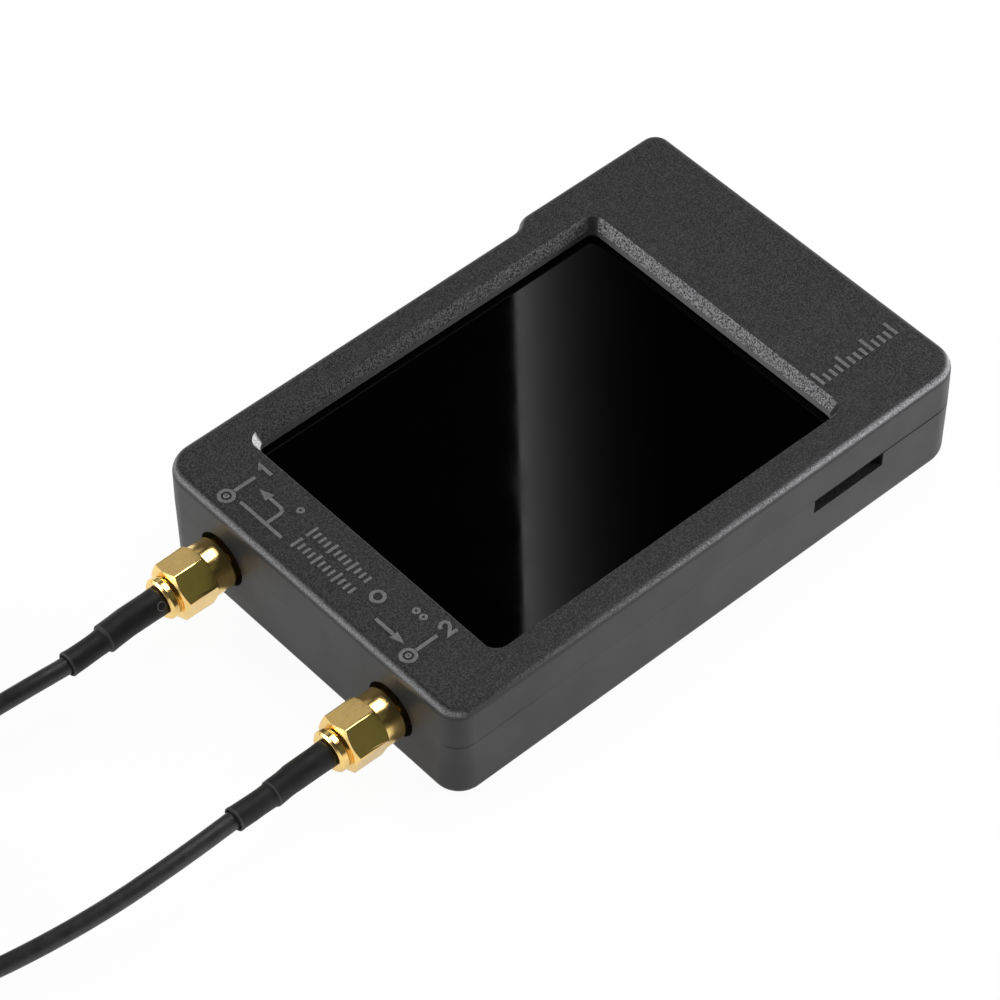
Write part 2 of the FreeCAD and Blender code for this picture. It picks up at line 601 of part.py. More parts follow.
def upper_shell(holes):
    body = doc.addObject("PartDesign::Body", "upper_form")
    outer = new_sketch(body, "upper_outline", "parting_height")
    case_outline(outer)
    extrude(body, "Pad", outer, "upper_block", "case_height - parting_height")
    round_edges(body, "upper_top_edge", "case_height", "top_edge_radius")
    hollow = new_sketch(body, "upper_inside", "parting_height")
    case_outline(hollow, "wall")
    extrude(body, "Pocket", hollow, "upper_cavity", "roof_inside - parting_height")
    rebate = new_sketch(body, "upper_rebate_line", "parting_height")
    case_outline(rebate, "(wall - lip_thickness - lip_gap)")
    extrude(body, "Pocket", rebate, "upper_rebate", "lip_height + lip_gap")
    opening = ("window_length - 2 * bevel_width", "window_width - 2 * bevel_width",
               "window_radius - bevel_width")
    collar = new_sketch(body, "collar_line", "collar_base")
    rounded_rectangle(collar, "window_x", "window_y", opening[0] + " + 2 * collar_width",
                      opening[1] + " + 2 * collar_width", opening[2] + " + collar_width")
    extrude(body, "Pad", collar, "collar", "roof_inside - collar_base + 2 * overlap")
    top = new_sketch(body, "window_top", "case_height")
    rounded_rectangle(top, "window_x", "window_y", "window_length", "window_width", "window_radius")
    low = new_sketch(body, "window_low", "case_height - bevel_depth")
    rounded_rectangle(low, "window_x", "window_y", *opening)
    loft(body, "SubtractiveLoft", top, low, "window_bevel")
    through = new_sketch(body, "window_through", "collar_base - overlap")
    rounded_rectangle(through, "window_x", "window_y", *opening)
    extrude(body, "Pocket", through, "window_opening",
            "case_height - collar_base - bevel_depth + 2 * overlap")
    form = fuse("upper_joined", [body]
                + bosses("upper_boss", "parting_height", "roof_inside + overlap", "boss_diameter")
                + posts("upper_post", "board_top", "roof_inside + overlap"))
    pilots = bosses("pilot_hole", "parting_height - past",
                    "head_recess + screw_length + pilot_depth", "screw_diameter + 2 * fit_gap")
    return cut("upper_shell", form, holes + pilots)


def lower_shell(holes):
    body = doc.addObject("PartDesign::Body", "lower_form")
    rim = new_sketch(body, "lower_outline", "parting_height")
    case_outline(rim)
    base = new_sketch(body, "lower_base_line", "0")
    case_outline(base, "lower_taper", "near_base_radius")
    loft(body, "AdditiveLoft", rim, base, "lower_block")
    round_edges(body, "lower_base_edge", "0", "base_edge_radius")
    hollow = new_sketch(body, "lower_inside", "parting_height")
    case_outline(hollow, "wall")
    extrude(body, "Pocket", hollow, "lower_cavity", "parting_height - floor_thickness", upward=False)
    lip = new_sketch(body, "lip_line", "parting_height - 2 * overlap")
    case_outline(lip, "wall")
    case_outline(lip, "(wall - lip_thickness)")
    extrude(body, "Pad", lip, "lip", "lip_height + 2 * overlap")
    form = fuse("lower_joined", [body]
                + bosses("lower_boss", "floor_thickness - overlap", "parting_height", "boss_diameter")
                + posts("lower_post", "floor_thickness - overlap", "board_base"))
    recesses = bosses("head_hole", "-past", "head_recess", "screw_head + 2 * screw_gap")
    shanks = bosses("shank_hole", "0", "parting_height + past", "screw_diameter + 2 * screw_gap")
    card = block("card_hole", ("card_x", "card_slot_length"), (">-side_y - past", "wall + 2 * past"),
                 (">parting_height - card_slot_height", "card_slot_height + lip_height + past"))
    return cut("lower_shell", form, holes + recesses + shanks + [card])


def case_screws():
    made = []
    for k, (sx, sy) in enumerate(CORNERS):
        steps = [("head_recess - screw_head_height", "screw_bevel", "screw_head - 2 * screw_bevel",
                  "screw_head"),
                 ("head_recess - screw_head_height + screw_bevel", "screw_head_height - screw_bevel",
                  "screw_head"),
                 ("head_recess - overlap", "screw_length - screw_tip + overlap", "screw_diameter"),
                 ("head_recess + screw_length - screw_tip", "screw_tip", "screw_diameter",
                  "screw_diameter / 2")]
        solid = turned("screw%d" % k, steps, axis="Z")
        socket = bind(doc.addObject("Part::Prism", "socket%d" % k),
                      Circumradius="screw_socket / 2 / cos(30)", Height="screw_head_height * 0.7")
        put(socket, z="head_recess - screw_head_height - overlap")
        made.append(put(cut("screw_%d" % k, solid, [socket]), sx + "boss_x", sy + "boss_y", "0"))
    return group("case_screws", made)


# Display

def display():
    centre = ("window_x", "touch_length"), ("window_y", "touch_width")
    touch = block("touch_panel", *centre, (">glass_base", "touch_thickness"))
    lcd = block("display_panel", ("window_x", "touch_length - 2 * lcd_margin"),
                ("window_y", "touch_width - 2 * lcd_margin"), (">lcd_base", "lcd_thickness"))
    ring = block("gasket_block", ("window_x", "window_length - 2 * bevel_width + 2 * collar_width"),
                 ("window_y", "window_width - 2 * bevel_width + 2 * collar_width"),
                 (">glass_top", "gasket_thickness"))
    inside = block("gasket_inside", ("window_x", "window_length - 2 * bevel_width + 2 * gasket_inset"),
                   ("window_y", "window_width - 2 * bevel_width + 2 * gasket_inset"),
                   (">glass_top - past", "gasket_thickness + 2 * past"))
    gasket = cut("display_gasket", ring, [inside])
    pads = [block("display_pad%d" % k, ("window_x", "pad_length"),
                  (side + "pad_y", "pad_width"), (">board_top", "lcd_base - board_top"))
            for k, side in enumerate("-+")]
    return [touch, lcd, gasket, group("display_pads", pads), display_flex()]


def display_flex():
    """A ribbon that leaves the panel's end, bends back under it and lies on the board."""
    body = doc.addObject("PartDesign::Body", "display_flex")
    sketch = body.newObject("Sketcher::SketchObject", "flex_line")
    plane = next(f for f in body.Origin.OriginFeatures if f.Role == "XZ_Plane")
    sketch.AttachmentSupport = (plane, [""])
    sketch.MapMode = "FlatFace"
    bend = "(lcd_base + flex_thickness * 2 - board_top) / 2"
    end = "window_x + touch_length / 2 - lcd_margin"
    x0, straight, low, r, t, tail = (number(s) for s in (
        end, "flex_straight", "board_top", bend, "flex_thickness", "flex_tail"))
    x1, top, x2 = x0 + straight, low + 2 * r, x0 + straight - tail
    sketch.addGeometry([
        line(x0, top, x1, top), arc(x1, low + r, r, 270, 450), line(x1, low, x2, low),
        line(x2, low, x2, low + t), line(x2, low + t, x1, low + t),
        arc(x1, low + r, r - t, 270, 450), line(x1, top - t, x0, top - t),
        line(x0, top - t, x0, top)], False)
    for one, at_one, two, at_two in ((0, 2, 1, 2), (1, 1, 2, 1), (4, 2, 5, 1), (5, 2, 6, 1)):
        sketch.addConstraint(Sketcher.Constraint("Tangent", one, at_one, two, at_two))
    for one, two in ((2, 3), (3, 4), (6, 7), (7, 0)):
        sketch.addConstraint(Sketcher.Constraint("Coincident", one, 2, two, 1))
    sketch.addConstraint(Sketcher.Constraint("Coincident", 1, 3, 5, 3))
    for level in (0, 2):
        sketch.addConstraint(Sketcher.Constraint("Horizontal", level))
    for upright in (3, 7):
        sketch.addConstraint(Sketcher.Constraint("Vertical", upright))
    from_origin(sketch, "DistanceX", 0, end)
    datum(sketch, "flex_straight", "DistanceX", 0, 1, 0, 2)
    datum(sketch, "flex_tail", "DistanceX", 2, 2, 2, 1)
    datum(sketch, bend, "Radius", 1)
    datum(sketch, "%s - flex_thickness" % bend, "Radius", 5)
    from_origin(sketch, "DistanceY", 2, "board_top")
    pad = body.newObject("PartDesign::Pad", "flex_strip")
    pad.Profile = sketch
    pad.Midplane = True
    bind(pad, Length="flex_width")
    return body


# Board and what is on it

def main_board():
    low_x, high_x = "board_x", "far_x - wall - board_gap"
    plate = block("board_plate", (">" + low_x, "(%s) - (%s)" % (high_x, low_x)),
                  ("0", "2 * board_y"), (">board_base", "board_thickness"))
    notches = bosses("board_notch", "board_base - past", "board_top + past", "boss_diameter + 2 * boss_gap")
    outside = "boss_diameter + 2 * boss_gap"
    for k, (sx, sy) in enumerate(CORNERS):
        notches.append(block("board_corner%d" % k, ("%s(boss_x + beyond / 2)" % sx, "beyond"),
                             ("%s(boss_y)" % sy, outside), ("board_base", "beyond")))
        notches.append(block("board_edge%d" % k, ("%s(boss_x + past)" % sx, outside + " + 2 * past"),
                             ("%s(boss_y + beyond / 2)" % sy, "beyond"), ("board_base", "beyond")))
    notches.append(block("board_port_notch", ("usb_x", "usb_width + 2 * usb_notch"),
                         (">usb_back - usb_notch", "beyond"), ("board_base", "beyond")))
    return cut("main_board", plate, notches)


def shields():
    cans = []
    for k, side in enumerate("-+"):
        where = ("shield_x", "shield_length"), (side + "shield_spacing / 2", "shield_width")
        can = block("shield_block%d" % k, *where, (">board_base - shield_height", "shield_height"))
        hollow = block("shield_hollow%d" % k, ("shield_x", "shield_length - 2 * shield_wall"),
                       (side + "shield_spacing / 2", "shield_width - 2 * shield_wall"),
                       (">board_base - shield_height + shield_wall", "shield_height"))
        cans.append(cut("shield_can%d" % k, can, [hollow]))
    return group("shield_cans", cans)


def chips():
    """The processor, the clock generator, the converter, the charger and the crystal."""
    big = ("chip_size", "chip_size", "chip_height")
    small = ("small_chip_size", "small_chip_size", "small_chip_height")
    flat = ("small_chip_size", "small_chip_size / 2", "small_chip_height")
    places = [("processor_x", "0", big), ("clock_x", "clock_y", small),
              ("supply_x", "converter_y", small), ("supply_x", "charger_y", small),
              ("clock_x", "crystal_y", flat)]
    made = [block("chip%d" % k, (x, size[0]), (y, size[1]), (">board_top", size[2]))
            for k, (x, y, size) in enumerate(places)]
    return group("board_chips", made)


def battery():
    cell = block("battery_block", ("battery_x", "battery_length"), ("0", "battery_width"),
                 (">floor_thickness + tape_thickness", "battery_thickness"))
    doc.recompute()
    rounded = doc.addObject("Part::Fillet", "battery_cell")
    rounded.Base = cell
    along = [k + 1 for k, e in enumerate(cell.Shape.Edges)
             if abs(e.tangentAt(e.FirstParameter).x) > 0.99]
    radius = number("min(battery_edge; battery_thickness / 2 - overlap)")
    rounded.Edges = [(k, radius, radius) for k in along]
    strips = [block("tape%d" % k, ("battery_x", "tape_length"),
                    (side + "battery_width / 4", "tape_width"), (">floor_thickness", "tape_thickness"))
              for k, side in enumerate("-+")]
    plug = block("battery_connector", ("plug_x", "plug_length"), ("0", "plug_width"),
                 (">board_base - plug_height", "plug_height"))
    leads = []
    for k, side in enumerate("-+"):
        lead = rod("lead%d" % k, "0", "lead_length", "lead_diameter")
        leads.append(put(lead, "plug_x + plug_length / 2", side + "lead_spacing / 2",
                         "board_base - lead_drop"))
    return [rounded, group("battery_tape", strips), plug, group("battery_leads", leads)]


def card_socket():
    can = block("card_block", ("card_x", "card_socket_length"), (">-board_y", "card_socket_depth"),
                (">board_top", "card_socket_height"))
    mouth = block("card_mouth", ("card_x", "card_mouth_length"),
                  (">-board_y - past", "card_mouth_depth + past"),
                  ("board_top + card_socket_height / 2", "card_mouth_height"))
    return cut("card_socket", can, [mouth])


def usb_port():
    outer = stadium("usb_outer", "usb_x", "usb_width", "usb_height", "usb_z", "usb_back", "usb_depth")
    inner = stadium("usb_inner", "usb_x", "(usb_width - 2 * usb_shell)", "(usb_height - 2 * usb_shell)",
                    "usb_z", "usb_back + usb_rear", "usb_depth")
    tongue = block("usb_tongue", ("usb_x", "usb_tongue_width"),
                   (">usb_back + usb_rear", "usb_depth - usb_rear - usb_tongue_sunk"),
                   ("usb_z", "usb_tongue_height"))
    return [cut("usb_shell_metal", outer, [inner]), tongue]


def power_switch():
    front, middle = "board_y", "board_top + power_height / 2"
    can = block("power_block", ("power_x", "power_length"), (">board_y - power_depth", "power_depth"),
                (">board_top", "power_height"))
    room = block("power_room", ("power_x", "power_length - 2 * power_shell"),
                 (">board_y - power_depth + power_shell", "power_depth - 2 * power_shell"),
                 (middle, "power_height - 2 * power_shell"))
    slot = block("power_slot", ("power_x", "knob_length + knob_travel + 2 * switch_gap"),
                 (">board_y - past", "2 * past"), (middle, "knob_height + 2 * switch_gap"))
    frame = cut("power_switch_frame", can, [room, slot])
    low_end = "power_x - knob_travel / 2"
    stem = block("knob_stem", (low_end, "knob_length"),
                 (">%s - power_shell - switch_gap - knob_base" % front,
                  "side_y + knob_reach - %s + power_shell + switch_gap + knob_base" % front),
                 (middle, "knob_height"))
    base = block("knob_plate", (low_end, "knob_plate"),
                 (">%s - power_shell - switch_gap - knob_base" % front, "knob_base"),
                 (middle, "power_height - 2 * power_shell - 2 * switch_gap"))
    return [frame, fuse("power_knob", [stem, base])]


def jog_switch():
    can = block("jog_block", ("jog_x", "jog_length"), (">jog_face - jog_depth", "jog_depth"),
                (">board_top", "jog_height"))
    room = block("jog_room", ("jog_x", "jog_length - 2 * jog_shell"),
                 (">jog_face - jog_depth + jog_shell", "jog_depth"),
                 (">jog_floor", "jog_height - 2 * jog_shell"))
    frame = cut("jog_switch_frame", can, [room])
    plate = block("slider_plate", ("jog_x", "jog_slider_length"),
                  ("jog_pivot_y", "jog_slider_depth"), (">jog_floor", "jog_slider_height + switch_gap / 2"))
    pin = rod("slider_pin", "jog_floor", "jog_slider_height + 1.5 * switch_gap + jog_lever_height",
              "jog_pin", axis="Z")
    put(pin, "jog_x", "jog_pivot_y", "jog_floor")
    slider = fuse("jog_slider", [plate, pin])
    hub = rod("lever_hub", "jog_lever_base", "jog_lever_height", "jog_hub", axis="Z")
    put(hub, "jog_x", "jog_pivot_y", "jog_lever_base")
    blade = block("lever_blade", ("jog_x", "jog_blade"),
                  (">jog_pivot_y", "bump_y + jog_reach - jog_pivot_y - jog_pad_depth / 2"),
                  (">jog_lever_base", "jog_lever_height"))
    pad = block("lever_pad", ("jog_x", "jog_pad"),
                (">bump_y + jog_reach - jog_pad_depth", "jog_pad_depth"),
                ("jog_lever_base + jog_lever_height / 2", "jog_pad_height"))
    eye = rod("lever_eye", "jog_lever_base - past", "jog_lever_height + 2 * past",
              "jog_pin + 2 * thread_gap", axis="Z")
    put(eye, "jog_x", "jog_pivot_y", "jog_lever_base - past")
    lever = cut("jog_lever", fuse("lever_form", [hub, blade, pad]), [eye])
    return [frame, slider, lever]


# Coaxial ports

def jack(port):
    """A jack that straddles the edge of the board; its own frame has the port's axis on X."""
    name = "port_%s_jack" % port
    flange = block(name + "_flange", (">flange_x", "flange_thickness"),
                   ("0", "flange_size"), ("0", "flange_size"))
    thread = rod(name + "_thread", "jack_end + thread_lead", "thread_length - thread_lead", "thread_diameter")
    lead_in = rod(name + "_lead_in", "jack_end", "thread_lead", "thread_diameter - 1.5 * thread_lead",
                  "thread_diameter")
    side = "(flange_size - leg_width) / 2"
    legs = []
    for k, sign in enumerate("-+"):
        for level, low in (("top", "board_top - port_height"),
                           ("base", "board_base - leg_width - port_height")):
            legs.append(block("%s_leg_%s%d" % (name, level, k),
                              (">board_x - overlap", "leg_length + overlap"),
                              ("%s%s" % (sign, side), "leg_width"), (">" + low, "leg_width")))
    mouth = rod(name + "_mouth", "jack_end - past", "socket_depth + past", "nose_diameter + 2 * thread_gap")
    bore = rod(name + "_bore", "mate_x - overlap", "board_x - mate_x + 2 * overlap",
               "dielectric_diameter")
    body = cut(name, fuse(name + "_form", [flange, thread, lead_in] + legs), [mouth, bore])
    insulator = turned("port_%s_insulator" % port,
                       [("mate_x", "board_x - mate_x", "dielectric_diameter - 2 * fit_gap")],
                       [("mate_x - past", "board_x - mate_x + 2 * past", "contact_diameter + 2 * fit_gap")])
    contact = turned("port_%s_contact" % port,
                     [("mate_x", "board_x - mate_x", "contact_diameter"),
                      ("board_x - overlap", "jack_pin_length + overlap", "jack_pin")],
                     [("mate_x - past", "contact_depth + past", "pin_diameter + 2 * thread_gap")])
    for piece in (body, insulator, contact):
        put(piece, "0", port_y(port), "port_height")
    return [body, insulator, contact]


# Cable plugs: each piece is drawn with the nose's front at X 0 and the nose towards +X

def coupling_nut(name, angle):
    back = "nut_overhang - nut_length"
    hexagon_length = "nut_length - nut_round_length"
    corner = "nut_flats / cos(30)"
    hexagon = bind(doc.addObject("Part::Prism", name + "_hexagon"),
                   Circumradius="(%s) / 2" % corner, Height=hexagon_length)
    # a corner points to +Z before the angle turns it towards -Y
    quarter = FreeCAD.Rotation(V(0, 1, 0), 90)
    lean = FreeCAD.Rotation(V(1, 0, 0), number(angle))
    hexagon.Placement = FreeCAD.Placement(V(), lean.multiply(quarter))
    put(hexagon, x=back)
    drop = "nut_corner_drop"
    envelope = fuse(name + "_envelope", [
        rod(name + "_back_cone", back, drop, "nut_end_diameter", corner),
        rod(name + "_middle", "%s + %s" % (back, drop), "%s - 2 * %s" % (hexagon_length, drop), corner),
        rod(name + "_front_cone", "nut_overhang - nut_round_length - " + drop, drop, corner,
            "nut_round_diameter")])
    trimmed = doc.addObject("Part::MultiCommon", name + "_trimmed")
    trimmed.Shapes = [hexagon, envelope]
    front = rod(name + "_front", "nut_overhang - nut_round_length - overlap",
                "nut_round_length - nut_mouth + overlap", "nut_round_diameter")
    rim = rod(name + "_rim", "nut_overhang - nut_mouth", "nut_mouth", "nut_round_diameter",
              "nut_round_diameter - nut_mouth")
    thread = "thread_diameter + 2 * thread_gap"
    bores = [
        rod(name + "_thread", "nut_overhang - nut_thread_length", "nut_thread_length + past", thread),
        rod(name + "_mouth", "nut_overhang - nut_mouth", "nut_mouth + overlap", thread,
            thread + " + 2 * nut_mouth"),
        rod(name + "_rear", back + " - past", "nut_length", "neck_diameter + 2 * thread_gap"),
        rod(name + "_groove", "-ring_back - ring_wire / 2 - groove_gap", "ring_wire + 2 * groove_gap",
            "ring_outer + 2 * groove_gap")]
    return cut(name, fuse(name + "_form", [trimmed, front, rim]), bores)


def plug_body(name):
    neck_back = "nose_length + neck_length"
    steps = [("-nose_length - overlap", "nose_length + overlap", "nose_diameter"),
             ("-(%s) - overlap" % neck_back, "neck_length + overlap", "neck_diameter"),
             ("-shoulder_back + shoulder_bevel", "shoulder_length - 2 * shoulder_bevel",
              "shoulder_diameter"),
             ("-(%s) - shoulder_bevel" % neck_back, "shoulder_bevel", "shoulder_diameter",
              "shoulder_diameter - 2 * shoulder_bevel"),
             ("-shoulder_back", "shoulder_bevel", "shoulder_diameter - 2 * shoulder_bevel",
              "shoulder_diameter"),
             ("-shoulder_back - stem_length", "stem_length + overlap", "stem_diameter")]
    seat = "nose_length + neck_length - plug_seat"
    bores = [("-(%s)" % seat, seat + " + past", "dielectric_diameter"),
             ("-shoulder_back - stem_length - past", "shoulder_back + stem_length", "stem_bore")]
    body = turned(name + "_whole", steps, bores)
    width = "ring_wire + 2 * groove_gap"
    ring = turned(name + "_ring_groove", [("-ring_back - (%s) / 2" % width, width, "neck_diameter + past")],
                  [("-ring_back - past", "2 * past", "ring_inner - 2 * groove_gap")])
    return cut(name, body, [ring])


def snap_ring(name):
    ring = turned(name + "_round", [("-ring_back - ring_wire / 2", "ring_wire", "ring_outer")],
                  [("-ring_back - past", "2 * past", "ring_inner")])
    slit = block(name + "_slit", ("-ring_back", "2 * past"), ("ring_outer / 2", "ring_outer"),
                 ("0", "ring_slit"))
    return cut(name, ring, [slit])


def plug_insulator(name):
    length = "nose_length + neck_length - plug_seat"
    return turned(name, [("-(%s)" % length, length, "dielectric_diameter - 2 * fit_gap")],
                  [("-(%s) - past" % length, length + " + 2 * past",
                    "pin_diameter + 2 * fit_gap")])


def plug_pin(name):
    return turned(name, [("-pin_tail", "pin_tail + pin_reach - pin_tip", "pin_diameter"),
                         ("pin_reach - pin_tip", "pin_tip", "pin_diameter", "pin_diameter / 3")])


def ferrule(name):
    return turned(name, [("-shoulder_back - ferrule_length", "ferrule_length", "ferrule_diameter")],
                  [("-shoulder_back - ferrule_length - past", "ferrule_length + 2 * past",
                    "stem_diameter + 2 * fit_gap")])


def heat_shrink(name):
    thick_end = "-shoulder_back - shrink_thick_length"
    slope_end = thick_end + " - shrink_step"
    steps = [(thick_end, "shrink_thick_length", "shrink_thick"),
             (slope_end, "shrink_step", "shrink_thin", "shrink_thick"),
             ("-shoulder_back - shrink_length", "shrink_length - shrink_thick_length - shrink_step + overlap",
              "shrink_thin")]
    bores = [("-shoulder_back - shrink_length - past", "shrink_length + 2 * past",
              "cable_diameter + 2 * shrink_gap"),
             ("-shoulder_back - ferrule_length", "ferrule_length + past",
              "ferrule_diameter + 2 * fit_gap")]
    return turned(name, steps, bores)


HIDDEN = (("snap_rings", snap_ring), ("insulators", plug_insulator), ("pins", plug_pin),
          ("ferrules", ferrule))


def cable_plugs(port, far_place):
    """The plug at the port and the one at the cable's far end."""
    near, far = "cable_%s_near" % port, "cable_%s_far" % port
    visible = [coupling_nut(near + "_nut", "nut_%s_angle" % port), plug_body(near + "_plug"),
               heat_shrink(near + "_heat_shrink"),
               coupling_nut(far + "_nut", "30"), plug_body(far + "_plug"),
               heat_shrink(far + "_heat_shrink")]
    for piece in visible[:3]:
        put(piece, "mate_x", port_y(port), "port_height")
    for piece in visible[3:]:
        piece.Placement = far_place
    hidden = []
    for kind, make in HIDDEN:
        pair = [make("%s_%s" % (near, kind)), make("%s_%s" % (far, kind))]
        put(pair[0], "mate_x", port_y(port), "port_height")
        pair[1].Placement = far_place
        hidden.append(group("cable_%s_%s" % (port, kind), pair))
    return visible + hidden


# Cables.  A route's points are chosen by hand; the tube follows them with tangent arcs.

def tube(name, points, diameter):
    """A tube along straight runs joined by arcs, each as large as its runs allow."""
    points = [V(*p) for p in points]
    edges, at, radii = [], points[0], []
    for before, corner, after in zip(points, points[1:], points[2:]):
        come, leave = corner - before, after - corner
        reach = 0.45 * min(come.Length, leave.Length)
        half = come.getAngle(leave) / 2
        radii.append(round(reach / math.tan(half), 1))
        start = corner - come.normalize() * reach
        end = corner + leave.normalize() * reach
        toward = (start + end) * 0.5 - corner
        radius = reach / math.tan(half)
        middle = corner + toward.normalize() * (radius / math.cos(half) - radius)
        edges.append(Part.LineSegment(at, start).toShape())
        edges.append(Part.Arc(start, middle, end).toShape())
        at = end
    edges.append(Part.LineSegment(at, points[-1]).toShape())
    path = Part.Wire(edges)
    circle = Part.Circle(points[0], points[1] - points[0], diameter / 2).toShape()
    solid = path.makePipeShell([Part.Wire(circle)], True, False)
    share = solid.Volume / (math.pi * diameter ** 2 / 4 * path.Length)
    print("%s: length %.1f, radii %s, volume %.3f of section times length"
          % (name, path.Length, radii, share))
    feature = doc.addObject("Part::Feature", name)
    feature.Shape = solid
    return feature


def coil(name, centre, radius):
    """The outer shape of the cable's turns, as one ring on the surface."""
    half = "(cable_diameter / 2 + coil_slack)"
    outer, inner = "2 * (%s + %s)" % (radius, half), "2 * (%s - %s)" % (radius, half)
    bevelled, hollowed = outer + " - 2 * coil_edge", inner + " + 2 * coil_edge"
    ring = turned(name, [("0", "coil_edge", bevelled, outer),
                         ("coil_edge", "coil_height - 2 * coil_edge", outer),
                         ("coil_height - coil_edge", "coil_edge", outer, bevelled)],
                  [("-overlap", "coil_edge + overlap", hollowed + " + 2 * overlap", inner),
                   ("0", "coil_height", inner),
                   ("coil_height - coil_edge", "coil_edge + overlap", inner,
                    hollowed + " + 2 * overlap")], axis="Z")
    ring.Placement = FreeCAD.Placement(V(*centre), FreeCAD.Rotation())
    return ring


def along(place, heading, distance, height):
    """A point at a distance from a place, seen from above, and at a height."""
    turn_by = math.radians(heading)
    return (place[0] + distance * math.cos(turn_by), place[1] + distance * math.sin(turn_by), height)


# The cable leaves the top of its coil and comes down to the height of its far plug, which
# lies on the surface: distance from the coil, and share of the fall that is left.
TAIL = [(0.0, 1.0), (6.0, 0.75), (11.0, 0.2), (15.5, 0.015), (20.5, 0.003), (26.0, 0.0)]

# The route to the coil, where and how the cable joins the coil, and the coil's turns.
CABLES = {
    "one": {"route": [(-69.6, 17.0, 8.63), (-77.6, 17.2, 8.25), (-86.2, 19.3, 6.0),
                      (-94.6, 21.6, 2.9)],
            "joins": (-100.75, 24.4, 1.4), "heading": 150, "turns": 2.26},
    "two": {"route": [(-69.6, -17.0, 8.63), (-80.0, -17.1, 8.2), (-93.0, -16.1, 6.8),
                      (-106.0, -12.9, 4.2), (-116.5, -8.4, 2.0)],
            "joins": (-122.0, -5.5, 1.4), "heading": 150, "turns": 2.15},
}


def cable(port):
    facts = CABLES[port]
    diameter = number("cable_diameter")
    start = (number("mate_x - cable_back"), number(port_y(port)), number("port_height"))
    made = [tube("cable_%s" % port, [start] + facts["route"] + [facts["joins"]], diameter)]
    radius = number("coil_%s_radius" % port)
    centre = along(facts["joins"], facts["heading"] - 90, radius, 0)
    made.append(coil("cable_%s_coil" % port, centre, "coil_%s_radius" % port))
    leaving = facts["heading"] - 360 * facts["turns"]
    exit_height = number("cable_diameter") * (0.5 + facts["turns"])
    exit_point = along(centre, leaving + 90, radius, exit_height)
    rest_height = number("nut_round_diameter / 2")
    fall = exit_height - rest_height
    tail = [along(exit_point, leaving, distance, rest_height + share * fall)
            for distance, share in TAIL]
    made.append(tube("cable_%s_tail" % port, tail, diameter))
    nose = along(exit_point, leaving, TAIL[-1][0] + number("cable_back"), rest_height)
    place = FreeCAD.Placement(V(*nose), FreeCAD.Rotation(UP, leaving))
    return cable_plugs(port, place) + made


def write(pieces):
    """Check every object of the document, then write one STEP file for each piece."""
    doc.recompute()
    for thing in doc.Objects:
        if "Invalid" in thing.State or "Error" in thing.State:
            raise RuntimeError("%s failed: %s" % (thing.Label, thing.State))
    for piece in pieces:
        if piece.Shape.isNull() or not piece.Shape.isValid():
            raise RuntimeError("%s has no valid shape" % piece.Label)
    os.makedirs("parts", exist_ok=True)
    for piece in pieces:
        piece.Shape.exportStep("parts/%s.step" % piece.Label)
        print("%-28s solids %d, volume %.1f" % (piece.Label, len(piece.Shape.Solids), piece.Shape.Volume))


holes = wall_holes()
pieces = [upper_shell(holes), lower_shell(holes), case_screws()]
pieces += display()
pieces += [main_board(), shields(), chips(), card_socket()]
pieces += battery() + usb_port() + power_switch() + jog_switch()
for port in PORTS:
    pieces += jack(port) + cable(port)
write(pieces)
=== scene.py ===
"""Looks of a hand-held antenna analyzer: a moulded housing with a touch display, and two
thin coaxial test cables screwed to the ports at one end.  Metres, in the frame of the solids.
"""
import json
import math

import bmesh
import bpy
from mathutils import Matrix, Vector


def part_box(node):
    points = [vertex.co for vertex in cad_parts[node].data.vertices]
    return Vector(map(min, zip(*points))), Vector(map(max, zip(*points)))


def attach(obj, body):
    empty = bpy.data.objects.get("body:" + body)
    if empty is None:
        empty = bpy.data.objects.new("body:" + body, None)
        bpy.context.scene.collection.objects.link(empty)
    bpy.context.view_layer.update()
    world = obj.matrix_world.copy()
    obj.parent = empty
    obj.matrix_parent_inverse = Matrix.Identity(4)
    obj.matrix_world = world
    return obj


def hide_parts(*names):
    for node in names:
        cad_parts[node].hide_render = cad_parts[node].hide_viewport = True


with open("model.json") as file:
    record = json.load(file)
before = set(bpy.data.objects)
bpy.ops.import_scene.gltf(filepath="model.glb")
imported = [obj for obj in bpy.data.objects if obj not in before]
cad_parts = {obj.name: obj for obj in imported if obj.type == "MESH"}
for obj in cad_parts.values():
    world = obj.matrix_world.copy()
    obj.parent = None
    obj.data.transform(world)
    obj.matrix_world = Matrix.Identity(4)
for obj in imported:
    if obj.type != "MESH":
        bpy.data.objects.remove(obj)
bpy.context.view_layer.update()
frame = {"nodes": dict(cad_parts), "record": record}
nodes = frame["nodes"]

MM = 0.001
PORTS = ("one", "two")
DIAMETER = 2.54 * MM            # cable
PORT_Y = {"one": 17.0 * MM, "two": -17.0 * MM}
PORT_Z = 8.65 * MM
NOSE_X = -49.9 * MM             # where plug and jack meet
COLLAR_BACK = 6.75 * MM         # back of the plug's collar, from the nose
SLEEVE_LIPS = (9.22 * MM, 15.3 * MM)    # how far behind the collar
CASE_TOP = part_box("upper_shell")[1].z
PARTING_Z = 10.8 * MM
WINDOW_MIDDLE = (-3.4 * MM, 0.1 * MM)
WINDOW_REACH = (30.6 * MM, 23.9 * MM)    # half of the opening below its slope, and a little
WINDOW_WALL = (14.9 * MM, 15.95 * MM)    # its upright wall, low and high

# where the housing's finish and its painted light change along its length, from the port end
SLOPE_LIGHT_GRADIENT = (-36 * MM, 12 * MM)
RIM_LIGHT_GRADIENT = (-40 * MM, 30 * MM)
SEAM_CLOSES = (-36 * MM, -28 * MM)
SEAM_OPENS = (16 * MM, 32 * MM)


# Materials

